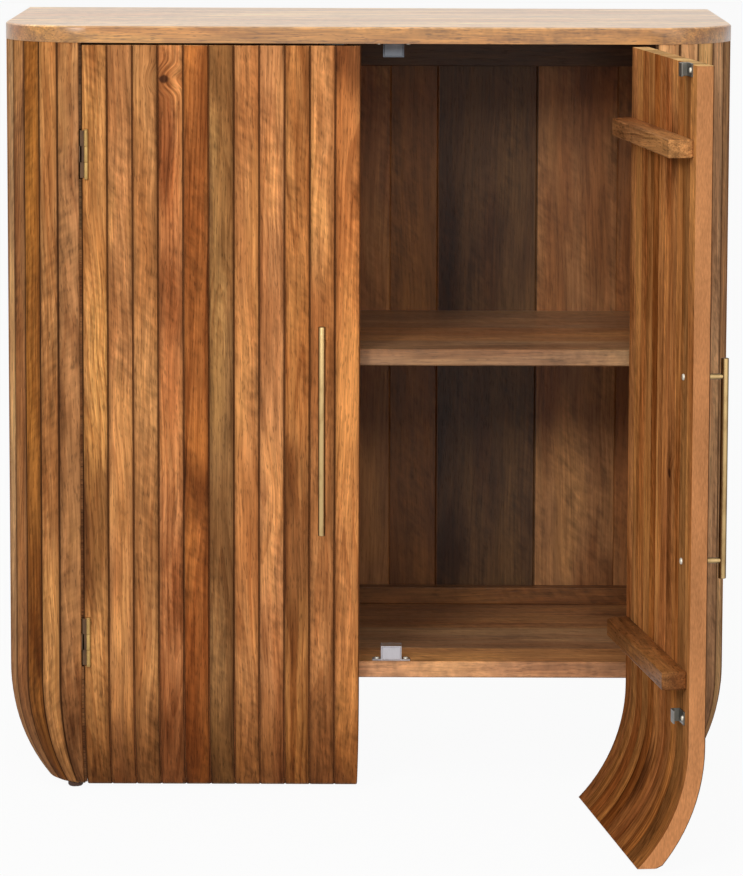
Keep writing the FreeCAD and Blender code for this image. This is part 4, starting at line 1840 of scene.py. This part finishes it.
class Lamp(NamedTuple):
    """Square area lamp: where it hangs, what it points at, length of its sides and watts."""

    name: str
    place: Point
    aim: Point
    size: float
    power: float

    def hang(self) -> None:
        """Add the lamp to the scene."""
        light = bpy.data.lights.new(self.name, "AREA")
        light.size = self.size
        light.energy = self.power
        holder = bpy.data.objects.new(self.name, light)
        holder.location = self.place
        direction = Vector(self.aim) - Vector(self.place)
        holder.rotation_euler = direction.to_track_quat("-Z", "Y").to_euler()
        bpy.context.scene.collection.objects.link(holder)


@dataclass
class Studio:
    """Camera at the photograph's viewpoint, soft light and a pale floor."""

    lamps: tuple[Lamp, ...] = (
        Lamp("key", (-1.56, -3.68, 2.05), (0.0, 0.15, 0.45), 0.9, 58.0),
        Lamp("front", (0.30, -3.90, 2.15), (0.1, 0.3, 0.40), 0.8, 25.0),
        Lamp("sky", (-0.5, -2.5, 3.6), (0.0, 0.1, 0.5), 2.2, 62.0),
        Lamp("fill", (2.8, -3.6, 1.6), (0.0, 0.1, 0.45), 2.4, 22.0),
        Lamp("rim", (-2.6, 1.2, 2.6), (0.0, 0.2, 0.5), 2.0, 18.0),
    )
    floor_size: float = 40.0
    floor_tone: Colour = (0.55, 0.55, 0.54)
    floor_glow: float = 0.95
    ambient: float = 0.30
    lens: float = 170.72
    sensor: float = 36.0
    shift: tuple[float, float] = (0.0006, -0.1514)
    eye: Point = (0.00375, -4.53735, 1.1066)
    look_down: float = 7.036
    roll: float = 0.193

    def build(self) -> None:
        """Make the stage, the lights and the camera."""
        self._floor()
        self._world()
        for lamp in self.lamps:
            lamp.hang()
        self._camera()

    @staticmethod
    def _seen(canvas: Canvas) -> Signal:
        """1 for what the camera or a reflection sees, else 0."""
        path = canvas.outputs(canvas.add("ShaderNodeLightPath"))
        return canvas.math("MAXIMUM", path["Is Camera Ray"], path["Is Glossy Ray"])

    def _floor(self) -> None:
        """Wide pale floor that keeps the shadow and shows white to the camera."""
        Bench.take()
        bpy.ops.mesh.primitive_plane_add(size=self.floor_size)
        floor = bpy.context.object
        floor.name = "floor"
        material = bpy.data.materials.new("pale floor")
        material.use_nodes = True
        canvas = Canvas(material.node_tree)
        matt = canvas.out("ShaderNodeBsdfDiffuse", (*self.floor_tone, 1.0))
        glow = canvas.out("ShaderNodeEmission", (1.0, 1.0, 1.0, 1.0))
        blend = canvas.out("ShaderNodeMixShader", self._seen(canvas) * self.floor_glow, matt, glow)
        canvas.add("ShaderNodeOutputMaterial", blend)
        floor.data.materials.append(material)

    def _world(self) -> None:
        """White surroundings, dimmer as light than as seen."""
        world = bpy.data.worlds.new("studio")
        bpy.context.scene.world = world
        world.use_nodes = True
        canvas = Canvas(world.node_tree)
        strength = self._seen(canvas) * (1.0 - self.ambient) + self.ambient
        canvas.add("ShaderNodeOutputWorld", canvas.out("ShaderNodeBackground", None, strength))

    def _camera(self) -> None:
        """Camera with the photograph's view and framing."""
        data = bpy.data.cameras.new("camera")
        data.sensor_width = self.sensor
        data.lens = self.lens
        data.shift_x, data.shift_y = self.shift
        camera = bpy.data.objects.new("camera", data)
        camera.location = self.eye
        pitch = Matrix.Rotation(math.radians(90.0 - self.look_down), 3, "X")
        roll = Matrix.Rotation(math.radians(self.roll), 3, "Z")
        camera.rotation_euler = (pitch @ roll).to_euler()
        scene = bpy.context.scene
        scene.collection.objects.link(camera)
        scene.camera = camera
        scene.view_settings.view_transform = "Standard"


def main() -> None:
    """Dress the cabinet and set the stage."""
    logging.basicConfig(level=logging.INFO, format="%(name)s: %(message)s")
    cabinet = Cabinet()
    hardware = Hardware(Effects())
    Carcass(cabinet, hardware).build()
    left_tones = (
        Tone.HONEY, Tone.TOFFEE, Tone.TAN, Tone.RUSSET, Tone.CHESTNUT, Tone.OLIVE, Tone.APRICOT,
        Tone.TERRACOTTA, Tone.AMBER, Tone.APRICOT, Tone.COPPER)
    right_tones = (
        Tone.TERRACOTTA, Tone.TAN, Tone.COPPER, Tone.HONEY, Tone.CHESTNUT, Tone.APRICOT, Tone.RUSSET,
        Tone.TOFFEE, Tone.AMBER, Tone.OLIVE, Tone.TAN)
    left_hearts = ((0, 0.31, 0.15), (4, 0.35, 0.06), (8, 0.25, 0.19), (10, 0.82, 0.06))
    right_hearts = ((5, 0.07, 0.05), (7, 0.74, 0.06))
    Door(Side.LEFT, cabinet, hardware, left_tones, 0.7, ((0.0845, 0.798, 0.006),), left_hearts).build()
    Door(Side.RIGHT, cabinet, hardware, right_tones, 9.1, ((0.205, 0.402, 0.007),), right_hearts).build()
    hardware.clear_bench()
    Studio().build()


if __name__ == "__main__":
    main()
